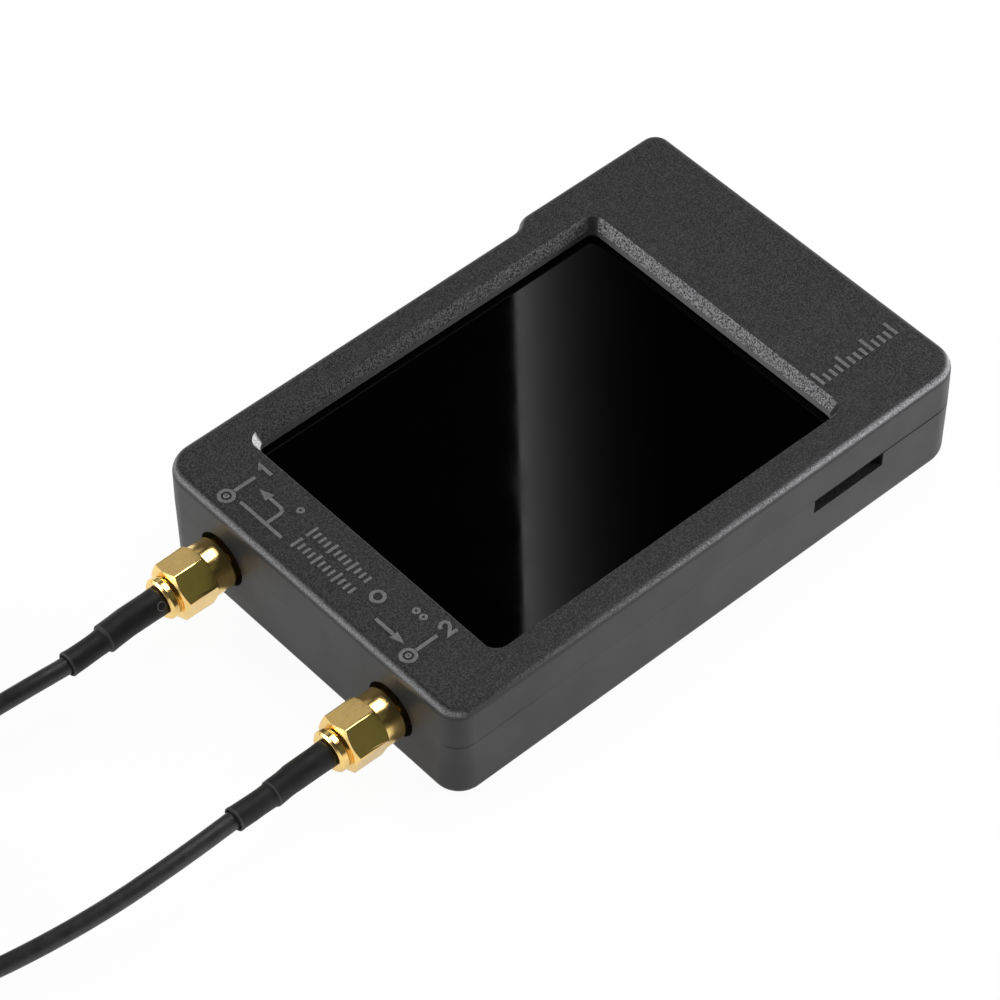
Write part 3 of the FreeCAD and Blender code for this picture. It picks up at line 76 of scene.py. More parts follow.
def tone(red, green=None, blue=None):
    """A colour as it looks, from 0 to 255, as the linear colour that a shader takes."""
    linear = []
    for part in (red, red if green is None else green, red if blue is None else blue):
        share = part / 255
        linear.append(share / 12.92 if share < 0.0404 else ((share + 0.055) / 1.055) ** 2.4)
    return (*linear, 1.0)


class Tree:
    """Shader nodes, made one after the other."""

    def __init__(self, tree):
        self.nodes = tree.nodes
        self.links = tree.links

    def add(self, kind, **inputs):
        made = self.nodes.new("ShaderNode" + kind)
        for socket, amount in inputs.items():
            self.feed(amount, made.inputs[socket.replace("_", " ")])
        return made

    def feed(self, amount, socket):
        if isinstance(amount, bpy.types.NodeSocket):
            self.links.new(amount, socket)
        else:
            socket.default_value = amount

    def math(self, operation, *values):
        made = self.nodes.new("ShaderNodeMath")
        made.operation = operation
        for value, socket in zip(values, made.inputs):
            self.feed(value, socket)
        return made.outputs[0]

    def times(self, one, other):
        return self.math("MULTIPLY", one, other)

    def plus(self, one, other):
        return self.math("ADD", one, other)

    def rest_of(self, value):
        """What is left of 1."""
        return self.math("SUBTRACT", 1.0, value)

    def ramp(self, value, low, high, at_low, at_high):
        """The value between low and high, as a number between at_low and at_high."""
        return self.add("MapRange", Value=value, From_Min=low, From_Max=high,
                        To_Min=at_low, To_Max=at_high).outputs["Result"]


class Finish(Tree):
    """A material with one surface shader, and the textures that shape it."""

    def __init__(self, name, colour, roughness, metallic=0.0, **sockets):
        self.material = bpy.data.materials.new(name)
        self.material.use_nodes = True
        super().__init__(self.material.node_tree)
        self.shader = self.nodes["Principled BSDF"]
        self.shader.inputs["Base Color"].default_value = colour
        self.shader.inputs["Roughness"].default_value = roughness
        self.shader.inputs["Metallic"].default_value = metallic
        for socket, amount in sockets.items():
            self.shader.inputs[socket.replace("_", " ")].default_value = amount
        self.colour = colour
        self.place = self.nodes.new("ShaderNodeTexCoord").outputs["Object"]
        self.relief = None

    def noise(self, size, detail=2.0, stretch=(1, 1, 1)):
        """Noise with grains of about this size."""
        place = self.add("Mapping", Vector=self.place, Scale=stretch).outputs["Vector"]
        return self.add("TexNoise", Vector=place, Scale=1 / size, Detail=detail,
                        Roughness=0.5).outputs["Fac"]

    def vary_colour(self, value, other):
        """Another colour where the value is 1."""
        before = self.shader.inputs["Base Color"]
        mix = self.nodes.new("ShaderNodeMix")
        mix.data_type = "RGBA"
        self.links.new(value, mix.inputs["Factor"])
        if before.is_linked:
            self.links.new(before.links[0].from_socket, mix.inputs[6])
        else:
            mix.inputs[6].default_value = self.colour
        mix.inputs[7].default_value = other
        self.links.new(mix.outputs[2], before)

    def vary_roughness(self, value, low, high):
        self.links.new(self.ramp(value, 0.3, 0.7, low, high), self.shader.inputs["Roughness"])

    def bump(self, height, depth, strength=1.0):
        """Relief of this depth in metres; each call adds to the last."""
        bump = self.add("Bump", Height=height, Distance=depth, Strength=strength)
        if self.relief:
            self.links.new(self.relief, bump.inputs["Normal"])
        self.relief = bump.outputs["Normal"]
        self.links.new(self.relief, self.shader.inputs["Normal"])

    def upward(self, low, high):
        """1 on faces that look up, 0 on walls; low and high are the upward parts of normals."""
        normal = self.add("TexCoord").outputs["Normal"]
        z = self.add("SeparateXYZ", Vector=normal).outputs["Z"]
        return self.ramp(z, low, high, 0.0, 1.0)

    def near(self, axis, place, reach):
        """1 at a place along an axis, 0 further than reach from it."""
        here = self.add("SeparateXYZ", Vector=self.place).outputs[axis]
        away = self.math("ABSOLUTE", self.math("SUBTRACT", here, place))
        return self.ramp(away, reach * 0.4, reach, 1.0, 0.0)


class HousingFinish(Finish):
    """Black moulded plastic, which differs from one zone of the mould to the next, with painted
    light and shade on some zones.
    """

    SHEEN = 0.35

    def __init__(self):
        super().__init__("housing_plastic", tone(38, 38, 39), 0.45, Specular_IOR_Level=self.SHEEN)
        self.x = self.add("SeparateXYZ", Vector=self.place).outputs["X"]
        self.top = self.upward(0.78, 0.97)
        self.window = self.about_window(2 * MM)
        self.card_side = self.towards_card_slot()
        self.grain = self.noise(0.2 * MM, 1.0)
        self.coarse = self.noise(0.25 * MM, 1.0)

    def directions(self):
        """How far a face looks to each side."""
        return self.add("SeparateXYZ", Vector=self.add("TexCoord").outputs["Normal"]).outputs

    def outside_shaded_corners(self):
        """0 in corners that look to the port side, else 1; there the slope keeps its darker plain
        colour, as painted shade.
        """
        normal = self.directions()
        across = self.math("ABSOLUTE", normal["Y"])
        corner = self.math("MINIMUM", self.times(normal["X"], -1.0), across)
        return self.ramp(corner, 0.2, 0.42, 1.0, 0.0)

    def highlighted_corner(self):
        """1 in the window's corner beside port one, where a bright patch is painted as a highlight.
        """
        normal = self.directions()
        corner = self.math("MINIMUM", normal["X"], self.times(normal["Y"], -1.0))
        return self.ramp(corner, 0.16, 0.34, 0.0, 1.0)

    def towards_ports(self):
        """1 on faces that look to the port side."""
        return self.ramp(self.times(self.directions()["X"], -1.0), 0.1, 0.4, 0.0, 1.0)

    def towards_card_slot(self):
        """1 on faces that look to the side with the card slot."""
        return self.ramp(self.times(self.directions()["Y"], -1.0), 0.1, 0.4, 0.0, 1.0)

    def about_window(self, beyond):
        """1 within the window and this far beyond it, else 0."""
        place = self.add("SeparateXYZ", Vector=self.place).outputs
        lengthways = self.math("ABSOLUTE", self.math("SUBTRACT", place["X"], WINDOW_MIDDLE[0]))
        across = self.math("ABSOLUTE", self.math("SUBTRACT", place["Y"], WINDOW_MIDDLE[1]))
        return self.times(self.math("LESS_THAN", lengthways, WINDOW_REACH[0] + beyond),
                          self.math("LESS_THAN", across, WINDOW_REACH[1] + beyond))

    def window_wall(self):
        """1 on the upright wall under the slope round the window."""
        z = self.add("SeparateXYZ", Vector=self.place).outputs["Z"]
        low, high = WINDOW_WALL
        level = self.times(self.math("GREATER_THAN", z, low), self.math("LESS_THAN", z, high))
        return self.times(self.about_window(0.0), level)

    def grain_display_side(self):
        """Dark, with fine specks as spark erosion leaves them."""
        specks = self.ramp(self.grain, 0.42, 0.64, 0.0, 1.0)
        self.vary_colour(self.times(self.top, 0.9), tone(24, 24, 25))
        self.vary_colour(self.times(specks, self.top), tone(58, 58, 60))
        self.bump(self.times(self.grain, self.top), 0.1 * MM)

    def grain_and_light_window_slope(self):
        """Coarser grain than the display side with pale specks, painted lighter away from the ports
        and darker where it looks to the card slot, as painted light and shade.
        """
        leaning = self.times(self.upward(0.2, 0.55), self.rest_of(self.top))
        # painted shade: the window's corners that look to the port side keep the darker plain
        # colour
        slope = self.times(self.times(leaning, self.outside_shaded_corners()), self.window)
        # painted light: the slope's specks are lighter away from the ports, and dimmer where the
        # slope looks to the card slot, which a lamp lights
        painted_light_gradient = self.times(self.ramp(self.x, *SLOPE_LIGHT_GRADIENT, 0.35, 1.0),
                           self.ramp(self.card_side, 0.0, 1.0, 1.0, 0.3))
        specks = self.times(self.ramp(self.coarse, 0.36, 0.64, 0.0, 1.0), painted_light_gradient)
        # painted highlight: a near-white patch in the window's corner beside port one
        corner_highlight = self.times(self.highlighted_corner(), self.ramp(self.coarse, 0.35, 0.6, 0.5, 1.0))
        self.vary_colour(slope, tone(28))
        self.vary_colour(self.times(specks, slope), tone(150, 150, 152))
        self.vary_colour(self.times(corner_highlight, self.times(leaning, self.window)), tone(205))
        # the upright wall under the slope is paler, partly its own smoother finish and partly
        # painted light that follows the same gradient
        wall = self.times(self.window_wall(), self.times(painted_light_gradient, 0.8))
        self.vary_colour(wall, tone(122, 122, 123))
        self.bump(self.times(self.coarse, slope), 0.14 * MM)

    def grain_and_light_rim(self):
        """Grain on the rounded rim with pale streaks as painted highlight, brighter away from the
        ports and on the port side, and painted shade beside port two.
        """
        rounded = self.times(self.upward(0.35, 0.62), self.rest_of(self.upward(0.74, 0.94)))
        rim = self.times(rounded, self.rest_of(self.window))
        # painted shade on the rim beside port two, on the card slot's side
        rim_shade = self.times(self.card_side, self.ramp(self.x, *RIM_LIGHT_GRADIENT, 0.9, 0.0))
        # painted highlight: streaks brightest at the far end and along the port side
        bright = self.times(self.card_side, self.ramp(self.x, *RIM_LIGHT_GRADIENT, 0.15, 1.0))
        bright = self.math("MAXIMUM", self.times(self.towards_ports(), 0.72), bright)
        rim_highlight_streaks = self.times(self.ramp(self.grain, 0.2, 0.8, 0.0, 1.0), bright)
        self.vary_colour(self.times(rim, rim_shade), tone(12))
        self.vary_colour(self.times(rim_highlight_streaks, rim), tone(156, 156, 158))
        self.bump(self.times(self.grain, rim), 0.06 * MM)

    def darken_seam(self):
        """A dark line between the shells on the card slot's side, open towards both ends."""
        gap = self.math("MAXIMUM", self.ramp(self.x, *SEAM_OPENS, 0.15, 0.9),
                        self.ramp(self.x, *SEAM_CLOSES, 0.45, 0.0))
        level = self.near("Z", PARTING_Z, 0.22 * MM)
        seam = self.times(level, self.times(gap, self.card_side))
        self.vary_colour(seam, tone(2))
        sheen = self.ramp(seam, 0.0, 1.0, self.SHEEN, 0.0)
        self.feed(sheen, self.shader.inputs["Specular IOR Level"])


def housing_plastic():
    made = HousingFinish()
    made.grain_display_side()
    made.grain_and_light_window_slope()
    made.grain_and_light_rim()
    made.darken_seam()
    made.vary_roughness(made.noise(7 * MM), 0.42, 0.5)
    made.bump(made.noise(0.5 * MM), 0.004 * MM, 0.4)
    made.bump(made.noise(18 * MM, 1.0), 0.2 * MM, 0.2)
    return made.material


def raised_marks():
    made = Finish("raised_marks", tone(82, 82, 83), 0.4)
    made.vary_colour(made.ramp(made.noise(0.3 * MM), 0.3, 0.7, 0, 1), tone(108, 108, 109))
    made.bump(made.noise(0.2 * MM), 0.02 * MM, 0.5)
    return made.material


def screen_glass():
    made = Finish("screen_glass", tone(1, 1, 1), 0.03, Specular_IOR_Level=0.12)
    made.vary_roughness(made.noise(6 * MM), 0.02, 0.04)
    return made.material


def gold_plate():
    """Gold over turned brass, with fine scratches and tarnish in patches."""
    made = Finish("gold_plate", (1.0, 0.71, 0.25, 1.0), 0.15, 1.0)
    made.vary_colour(made.ramp(made.noise(1.6 * MM), 0.35, 0.75, 0.0, 0.6), (0.9, 0.6, 0.26, 1.0))
    made.vary_roughness(made.noise(0.5 * MM), 0.15, 0.24)
    made.bump(made.noise(0.1 * MM, stretch=(1, 0.2, 0.2)), 0.003 * MM, 0.3)
    made.bump(made.noise(2.5 * MM, 1.0), 0.006 * MM, 0.3)
    return made.material


def heat_shrink():
    """Matt black tube, with a painted highlight in grey on its two lips."""
    made = Finish("heat_shrink", tone(26, 26, 27), 0.5, Specular_IOR_Level=0.3)
    made.vary_colour(made.ramp(made.noise(1.5 * MM), 0.3, 0.7, 0, 1), tone(34, 34, 35))
    for distance in SLEEVE_LIPS:
        # painted highlight: a thin pale grey line on each lip
        lip_highlight = made.near("X", NOSE_X - COLLAR_BACK - distance, 0.16 * MM)
        made.vary_colour(lip_highlight, tone(60, 60, 61))
    made.vary_roughness(made.noise(2.5 * MM), 0.46, 0.6)
    made.bump(made.noise(1.4 * MM, 2.0), 0.06 * MM, 0.4)
    made.bump(made.noise(0.15 * MM), 0.006 * MM, 0.5)
    return made.material


def cable_jacket():
    made = Finish("cable_jacket", tone(32, 32, 33), 0.42)
    made.vary_colour(made.ramp(made.noise(2 * MM), 0.3, 0.7, 0, 1), tone(44, 44, 45))
    made.vary_roughness(made.noise(1.5 * MM), 0.34, 0.5)
    made.bump(made.noise(0.5 * MM), 0.03 * MM, 0.5)
    return made.material


def plain(name, colour, other, roughness, metallic=0.0, grain=0.4 * MM, depth=0.01 * MM):
    """A finish for pieces inside: two colours in soft patches and a fine grain."""
    made = Finish(name, colour, roughness, metallic)
    made.vary_colour(made.ramp(made.noise(grain * 6), 0.35, 0.65, 0, 1), other)
    made.vary_roughness(made.noise(grain * 3), roughness * 0.85, min(1.0, roughness * 1.2))
    made.bump(made.noise(grain), depth, 0.5)
    return made.material


FINISHES = {
    "housing_plastic": housing_plastic(),
    "screen_glass": screen_glass(),
    "gold_plate": gold_plate(),
    "heat_shrink": heat_shrink(),
    "cable_jacket": cable_jacket(),
    "display_housing": plain("display_housing", tone(40), tone(52), 0.3),
    "foam": plain("foam", tone(84), tone(66), 0.95, grain=0.3 * MM, depth=0.08 * MM),
    "flex_film": plain("flex_film", tone(176, 110, 42), tone(158, 92, 34), 0.25),
    "circuit_board": plain("circuit_board", tone(16, 30, 52), tone(22, 40, 66), 0.3),
    "chip_black": plain("chip_black", tone(34), tone(42), 0.6),
    "tinned_sheet": plain("tinned_sheet", tone(206, 206, 200), tone(190, 190, 186), 0.28, 1.0),
    "steel": plain("steel", tone(150, 150, 154), tone(128, 128, 132), 0.3, 1.0),
    "nickel": plain("nickel", tone(222, 218, 208), tone(206, 202, 194), 0.2, 1.0),
    "white_insulator": plain("white_insulator", tone(236, 236, 230), tone(226, 226, 220), 0.45),
    "port_insulator": plain("port_insulator", tone(236, 236, 230), tone(226, 226, 220), 0.45),
    "spring_bronze": plain("spring_bronze", tone(214, 170, 112), tone(196, 150, 96), 0.3, 1.0),
    "battery_foil": plain("battery_foil", tone(198, 200, 204), tone(182, 184, 190), 0.35, 1.0,
                          grain=3 * MM),
    "adhesive_tape": plain("adhesive_tape", tone(206, 200, 178), tone(190, 184, 160), 0.8),
    "lead_insulation": plain("lead_insulation", tone(170, 24, 22), tone(150, 18, 18), 0.4),
    "connector_white": plain("connector_white", tone(230, 226, 212), tone(218, 214, 200), 0.45),
    "switch_black": plain("switch_black", tone(36), tone(46), 0.45),
}
MARKS = raised_marks()
CARD_SOCKET = plain("blackened_sheet", tone(12), tone(8), 0.6, 0.4)

# how round the sharp edges are
EDGES = {"upper_shell": 0.08 * MM, "lower_shell": 0.08 * MM,
         "power_knob": 0.15 * MM, "jog_lever": 0.2 * MM, "case_screws": 0.08 * MM}
NUT_EDGE = 0.14 * MM
PLUG_EDGE = 0.06 * MM
SHARP = math.radians(25)        # bend from which an edge is rounded
SMOOTH = math.radians(24)       # bend up to which faces are shaded as one
WELD = 0.002 * MM


def edge_radius(name):
    if name.endswith("_nut"):
        return NUT_EDGE
    if name.endswith(("_plug", "_jack")):
        return PLUG_EDGE
    return EDGES.get(name)


def round_edges(solid, radius):
    """Small round edges; of a nut only its long corners, since its end is turned."""
    nut = solid.name.endswith("_nut")
    if nut:
        solid.modifiers.new("corners", "NODES").node_group = nut_corners()
    bevel = solid.modifiers.new("edges", "BEVEL")
    bevel.width = radius
    bevel.segments = 3
    bevel.limit_method = "WEIGHT" if nut else "ANGLE"
    bevel.angle_limit = SHARP
    bevel.use_clamp_overlap = not nut


def dress_solids():
    """Every solid gets its slot's finish, smooth curved faces and small round edges."""
    smooth = smoothing()
    slots = {row["node"]: row["material_slot"] for row in frame["record"]["subparts"]}
    for name, solid in nodes.items():
        solid.data.materials.clear()
        solid.data.materials.append(CARD_SOCKET if name == "card_socket" else FINISHES[slots[name]])
        weld = solid.modifiers.new("weld", "WELD")
        weld.merge_threshold = WELD
        solid.modifiers.new("smooth", "NODES").node_group = smooth
        radius = edge_radius(name)
        if radius:
            round_edges(solid, radius)
        flats = solid.modifiers.new("flats", "WEIGHTED_NORMAL")
        flats.keep_sharp = True


def geometry_group(name):
    """A node group for a modifier, with its first and last node."""
    group = bpy.data.node_groups.new(name, "GeometryNodeTree")
    group.interface.new_socket("Geometry", in_out="INPUT", socket_type="NodeSocketGeometry")
    group.interface.new_socket("Geometry", in_out="OUTPUT", socket_type="NodeSocketGeometry")
    return group, group.nodes.new("NodeGroupInput"), group.nodes.new("NodeGroupOutput")


def nut_corners(shortest=3 * MM, bend=math.radians(57), spread=math.radians(18)):
    """A modifier that marks a nut's six long corners for the bevel after it."""
    if "nut_corners" in bpy.data.node_groups:
        return bpy.data.node_groups["nut_corners"]
    group, start, end = geometry_group("nut_corners")
    add, link = group.nodes.new, group.links.new
    ends, length, angle = (add("GeometryNodeInputMeshEdgeVertices"), add("ShaderNodeVectorMath"),
                           add("GeometryNodeInputMeshEdgeAngle"))
    length.operation = "DISTANCE"
    long, bent, both = add("ShaderNodeMath"), add("ShaderNodeMath"), add("ShaderNodeMath")
    long.operation, bent.operation, both.operation = "GREATER_THAN", "COMPARE", "MULTIPLY"
    long.inputs[1].default_value = shortest
    bent.inputs[1].default_value = bend
    bent.inputs[2].default_value = spread
    mark = add("GeometryNodeStoreNamedAttribute")
    mark.domain, mark.data_type = "EDGE", "FLOAT"
    mark.inputs["Name"].default_value = "bevel_weight_edge"
    link(ends.outputs["Position 1"], length.inputs[0])
    link(ends.outputs["Position 2"], length.inputs[1])
    link(length.outputs["Value"], long.inputs[0])
    link(angle.outputs["Unsigned Angle"], bent.inputs[0])
    link(long.outputs[0], both.inputs[0])
    link(bent.outputs[0], both.inputs[1])
    link(start.outputs["Geometry"], mark.inputs["Geometry"])
    link(both.outputs[0], mark.inputs["Value"])
    link(mark.outputs["Geometry"], end.inputs["Geometry"])
    return group


def smoothing():
    """A modifier that shades smooth across all edges that bend no more than SMOOTH."""
    group, start, end = geometry_group("smooth_by_angle")
    add = group.nodes.new
    faces, edges = add("GeometryNodeSetShadeSmooth"), add("GeometryNodeSetShadeSmooth")
    faces.domain, edges.domain = "FACE", "EDGE"
    angle, sharp = add("GeometryNodeInputMeshEdgeAngle"), add("FunctionNodeCompare")
    sharp.data_type, sharp.operation = "FLOAT", "LESS_EQUAL"
    sharp.inputs["B"].default_value = SMOOTH
    link = group.links.new
    link(angle.outputs["Unsigned Angle"], sharp.inputs["A"])
    link(start.outputs["Geometry"], faces.inputs["Geometry"])
    link(faces.outputs["Geometry"], edges.inputs["Geometry"])
    link(sharp.outputs["Result"], edges.inputs["Shade Smooth"])
    link(edges.outputs["Geometry"], end.inputs["Geometry"])
    return group


def piece(name, bm, finish, body=None, smooth=True):
    """A new piece from a bmesh; it rides on a body unless it is part of the studio."""
    mesh = bpy.data.meshes.new(name)
    bm.to_mesh(mesh)
    bm.free()
    mesh.materials.append(finish)
    if smooth:
        mesh.shade_smooth()
    made = bpy.data.objects.new(name, mesh)
    bpy.context.collection.objects.link(made)
    if body:
        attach(made, body)
    return made


# Camera

CAMERA_PLACE = (-264.594 * MM, -283.330 * MM, 445.634 * MM)
CAMERA_TURN = (40.987, 0.200, -41.971)
CAMERA_LENS = 156.0


def camera():
    made = bpy.data.objects.new("camera", bpy.data.cameras.new("camera"))
    made.location = CAMERA_PLACE
    made.rotation_euler = [math.radians(a) for a in CAMERA_TURN]
    made.data.lens = CAMERA_LENS
    made.data.clip_start = 0.01
    bpy.context.collection.objects.link(made)
    bpy.context.scene.camera = made


# Cables

def along(place, heading, distance, height):
    """A point at a distance from a place, seen from above, and at a height."""
    turn = math.radians(heading)
    x, y = place[0] + distance * math.cos(turn), place[1] + distance * math.sin(turn)
    return Vector((x, y, height))


# the route to the coil, where the cable joins it (mm), which way it then heads (degrees), and
# the coil's turns and radius (mm)
CABLES = {
    "one": {"route": [(-62.55, 17.0, 8.65), (-69.6, 16.65, 8.15), (-77.6, 17.2, 8.25),
                      (-86.2, 19.3, 6.0), (-94.6, 21.6, 2.9)],
            "joins": (-100.75, 24.4, 1.4), "heading": 150, "turns": 2.26, "radius": 14.0},
    "two": {"route": [(-62.55, -17.0, 8.65), (-69.6, -17.0, 8.63), (-80.0, -17.1, 8.2),
                      (-93.0, -16.1, 6.8), (-106.0, -12.7, 4.2), (-116.5, -8.4, 2.0)],
            "joins": (-122.0, -5.5, 1.4), "heading": 150, "turns": 2.15, "radius": 13.2},
}
# from the coil to the far plug: distance (mm), and share of the coil's height that is left
TAIL = [(6.0, 0.75), (11.0, 0.2), (15.5, 0.015), (20.5, 0.003), (26.0, 0.0)]
PLUG_HEIGHT = 3.8               # axis of a plug that lies on the surface
POINTS_PER_TURN = 16
COIL_GAP = 0.1                  # under the lowest turn


def cable_points(port):
    """The curve's points from the near plug over the coil to the far plug."""
    facts = CABLES[port]
    diameter = DIAMETER / MM
    radius, turns, heading = facts["radius"], facts["turns"], facts["heading"]
    points = [Vector(p) for p in facts["route"]]
    centre = along(facts["joins"], heading - 90, radius, 0)
    count = round(turns * POINTS_PER_TURN)
    step = 360 * turns / count
    # the curve cuts the corners, so its points lie a little outside the turn
    spread = radius / (0.75 + 0.25 * math.cos(math.radians(step)))
    for k in range(count + 1):
        height = diameter / 2 + COIL_GAP + (k / POINTS_PER_TURN) * diameter
        points.append(along(centre, heading + 90 - k * step, spread, height))
    leaving = heading - 360 * turns
    exit_height = diameter * (0.5 + turns)
    exit_point = along(centre, leaving + 90, radius, exit_height)
    for distance, share in TAIL:
        height = PLUG_HEIGHT + share * (exit_height - PLUG_HEIGHT)
        points.append(along(exit_point, leaving, distance, height))
    return [p * MM for p in points]


def cable_curve(port, name, thick):
    curve = bpy.data.curves.new(name, "CURVE")
    curve.dimensions = "3D"
    curve.resolution_u = 8
    if thick:
        curve.bevel_depth = DIAMETER / 2
        curve.bevel_resolution = 6
        curve.use_fill_caps = True
    points = cable_points(port)
    spline = curve.splines.new("NURBS")
    spline.points.add(len(points) - 1)
    for point, place in zip(spline.points, points):
        point.co = (*place, 1.0)
    spline.order_u = 3
    spline.use_endpoint_u = True
    return curve


def cable_line(port):
    """The points that the cable's middle follows, from its plug on."""
    curve = cable_curve(port, "cable_%s_middle" % port, thick=False)
    holder = bpy.data.objects.new("cable_%s_middle" % port, curve)
    mesh = bpy.data.meshes.new_from_object(holder)
    points = [v.co.copy() for v in mesh.vertices]
    bpy.data.objects.remove(holder)
    bpy.data.meshes.remove(mesh)
    bpy.data.curves.remove(curve)
    return points


# each sleeve's outside: distance behind the collar and radius (mm)
SLEEVES = {
    "one": [(0.05, 2.08), (0.6, 2.1), (1.3, 2.06), (5.5, 2.06), (8.4, 2.07), (8.9, 2.1),
            (9.2, 2.1), (9.3, 2.05), (9.36, 1.9), (9.45, 1.79), (9.7, 1.72), (10.5, 1.68),
            (11.5, 1.68), (13.2, 1.71), (14.7, 1.74), (15.1, 1.79), (15.35, 1.77), (15.45, 1.66)],
    "two": [(0.05, 1.98), (0.6, 1.97), (1.5, 1.93), (5.9, 1.92), (6.5, 1.86), (7.3, 1.83),
            (8.4, 1.87), (9.1, 1.89), (9.3, 1.87), (9.42, 1.77), (9.7, 1.7), (10.5, 1.67),
            (11.5, 1.67), (13.0, 1.7), (14.8, 1.71), (15.2, 1.76), (15.45, 1.74), (15.55, 1.64)],
}
SLEEVE_INSIDE = [(15.45, 1.52), (15.1, 1.44), (13.6, 1.4), (10.4, 1.4), (9.4, 1.5), (6.3, 1.7),
                 (5.9, 1.87), (0.05, 1.87)]
SLEEVE_SEGMENTS = 40
# how far a sleeve's middle lies below the cable's line, by distance behind the collar (mm)
SAG = {"one": [(0, 0.0), (20, 0.0)],
       "two": [(0, 0.0), (6.0, 0.0), (7.5, 0.2), (9.2, 0.36), (10.5, 0.33), (13, 0.24),
               (15.6, 0.05)]}


def sag(port, distance):
    for (near, less), (far, more) in zip(SAG[port], SAG[port][1:]):
        if distance <= far:
            return less + (more - less) * (distance - near) / (far - near)
    return 0.0


# a thin ring pressed into sleeve one: where it is along x, how far it is turned from the top
# towards the front, and the sleeve's radius there (mm, degrees)
RING_X, RING_TURN, RING_ON = -57.45, 59, 2.06
RING_RADIUS = 0.62
RING_WIRE = 0.07                # half of its thickness


def pressed_ring(bm, axis):
    """Add the ring, which bends round a sleeve with its middle line through axis."""
    upright = Matrix.Rotation(math.pi / 2, 4, "X")
    place = Matrix.Translation((RING_RADIUS * MM, 0, 0)) @ upright
    section = bmesh.ops.create_circle(bm, segments=6, radius=RING_WIRE * MM, matrix=place)["verts"]
    edges = [e for e in bm.edges if e.verts[0] in section]
    before = set(bm.verts) - set(section)
    bmesh.ops.spin(bm, geom=section + edges, cent=(0, 0, 0), axis=(0, 0, 1), angle=math.tau,
                   steps=28, use_merge=True)
    ring = [v for v in bm.verts if v not in before]
    for face in {f for v in ring for f in v.link_faces}:
        face.material_index = 1
    for v in ring:
        v.co.z += math.sqrt((RING_ON * MM) ** 2 - v.co.y ** 2)
    turn = Matrix.Rotation(math.radians(RING_TURN), 3, "X")
    bmesh.ops.rotate(bm, verts=ring, cent=(0, 0, 0), matrix=turn)
    bmesh.ops.translate(bm, verts=ring, vec=Vector((RING_X * MM, axis.y, axis.z)))


def place_on(line, distance):
    """The point at this distance along a line of points, and the line's way there."""
    for start, end in zip(line, line[1:]):
        step = (end - start).length
        if distance <= step:
            break
        distance -= step
    way = (end - start).normalized()
    return start + way * distance, way


def sleeve(port):
    """Shrunk tube over the near plug's ferrule and the cable's first stretch."""
    nose = Vector((NOSE_X, PORT_Y[port], PORT_Z))
    start = nose - Vector((COLLAR_BACK, 0, 0))
    line = [start] + cable_line(port)
    bm = bmesh.new()
    rings = []
    for distance, radius in SLEEVES[port] + SLEEVE_INSIDE:
        middle, way = place_on(line, distance * MM)
        middle.z -= sag(port, distance) * MM
        place = Matrix.Translation(middle) @ way.to_track_quat("Z", "Y").to_matrix().to_4x4()
        ring = bmesh.ops.create_circle(bm, segments=SLEEVE_SEGMENTS, radius=radius * MM,
                                       matrix=place)["verts"]
        rings.append([e for e in bm.edges if e.verts[0] in ring and e.verts[1] in ring])
    for one, other in zip(rings, rings[1:] + rings[:1]):
        bmesh.ops.bridge_loops(bm, edges=one + other)
    if port == "one":
        pressed_ring(bm, start)
    bmesh.ops.recalc_face_normals(bm, faces=bm.faces)
    name = "cable_%s_near_sleeve" % port
    made = piece(name, bm, FINISHES["heat_shrink"], "cable_%s" % port)
    made.data.materials.append(MARKS)
    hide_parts("cable_%s_near_heat_shrink" % port)
    return made


def cable(port):
    """The wire as one curve, with the sleeve on it."""
    curve = cable_curve(port, "cable_%s_line" % port, thick=True)
    made = bpy.data.objects.new("cable_%s_wire" % port, curve)
    bpy.context.collection.objects.link(made)
    made.data.materials.append(FINISHES["cable_jacket"])
    name = "cable_%s" % port
    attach(made, name)
    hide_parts(name, name + "_coil", name + "_tail")
    ends = [sleeve(port)] + [nodes[name + kind] for kind in (
        "_near_nut", "_near_plug", "_far_nut", "_far_plug", "_far_heat_shrink",
        "_snap_rings", "_insulators", "_pins", "_ferrules")]


# Raised marks on the display side

MARK_HEIGHT = 0.14 * MM
MARK_SUNK = 0.06 * MM
MARK_EDGE = 0.06 * MM
MARK_WIDTH = 0.5                # mm


def raised(bm, outline):
    """A raised shape with this outline (mm) and a soft upper edge."""
    low = CASE_TOP - MARK_SUNK
    face = bm.faces.new([bm.verts.new((x * MM, y * MM, low)) for x, y in outline])
    made = bmesh.ops.extrude_face_region(bm, geom=[face])["geom"]
    top = [v for v in made if isinstance(v, bmesh.types.BMVert)]
    bmesh.ops.translate(bm, vec=(0, 0, MARK_HEIGHT + MARK_SUNK), verts=top)
    edges = [e for e in bm.edges if e.verts[0] in top and e.verts[1] in top]
    bmesh.ops.bevel(bm, geom=edges, offset=MARK_EDGE, segments=2, profile=0.5, affect="EDGES",
                    material=-1)


def stroke(bm, *places, width=MARK_WIDTH):
    """A raised line of one width through these places (mm)."""
    places = [Vector(p) for p in places]
    ways = [(b - a).normalized() for a, b in zip(places, places[1:])]
    ways = [ways[0], *ways, ways[-1]]
    left, right = [], []
    for place, before, after in zip(places, ways, ways[1:]):
        way = (before + after).normalized()
        aside = Vector((-way.y, way.x)) * (width / 2 / way.dot(after))
        left.append(place + aside)
        right.append(place - aside)
    raised(bm, left + right[::-1])


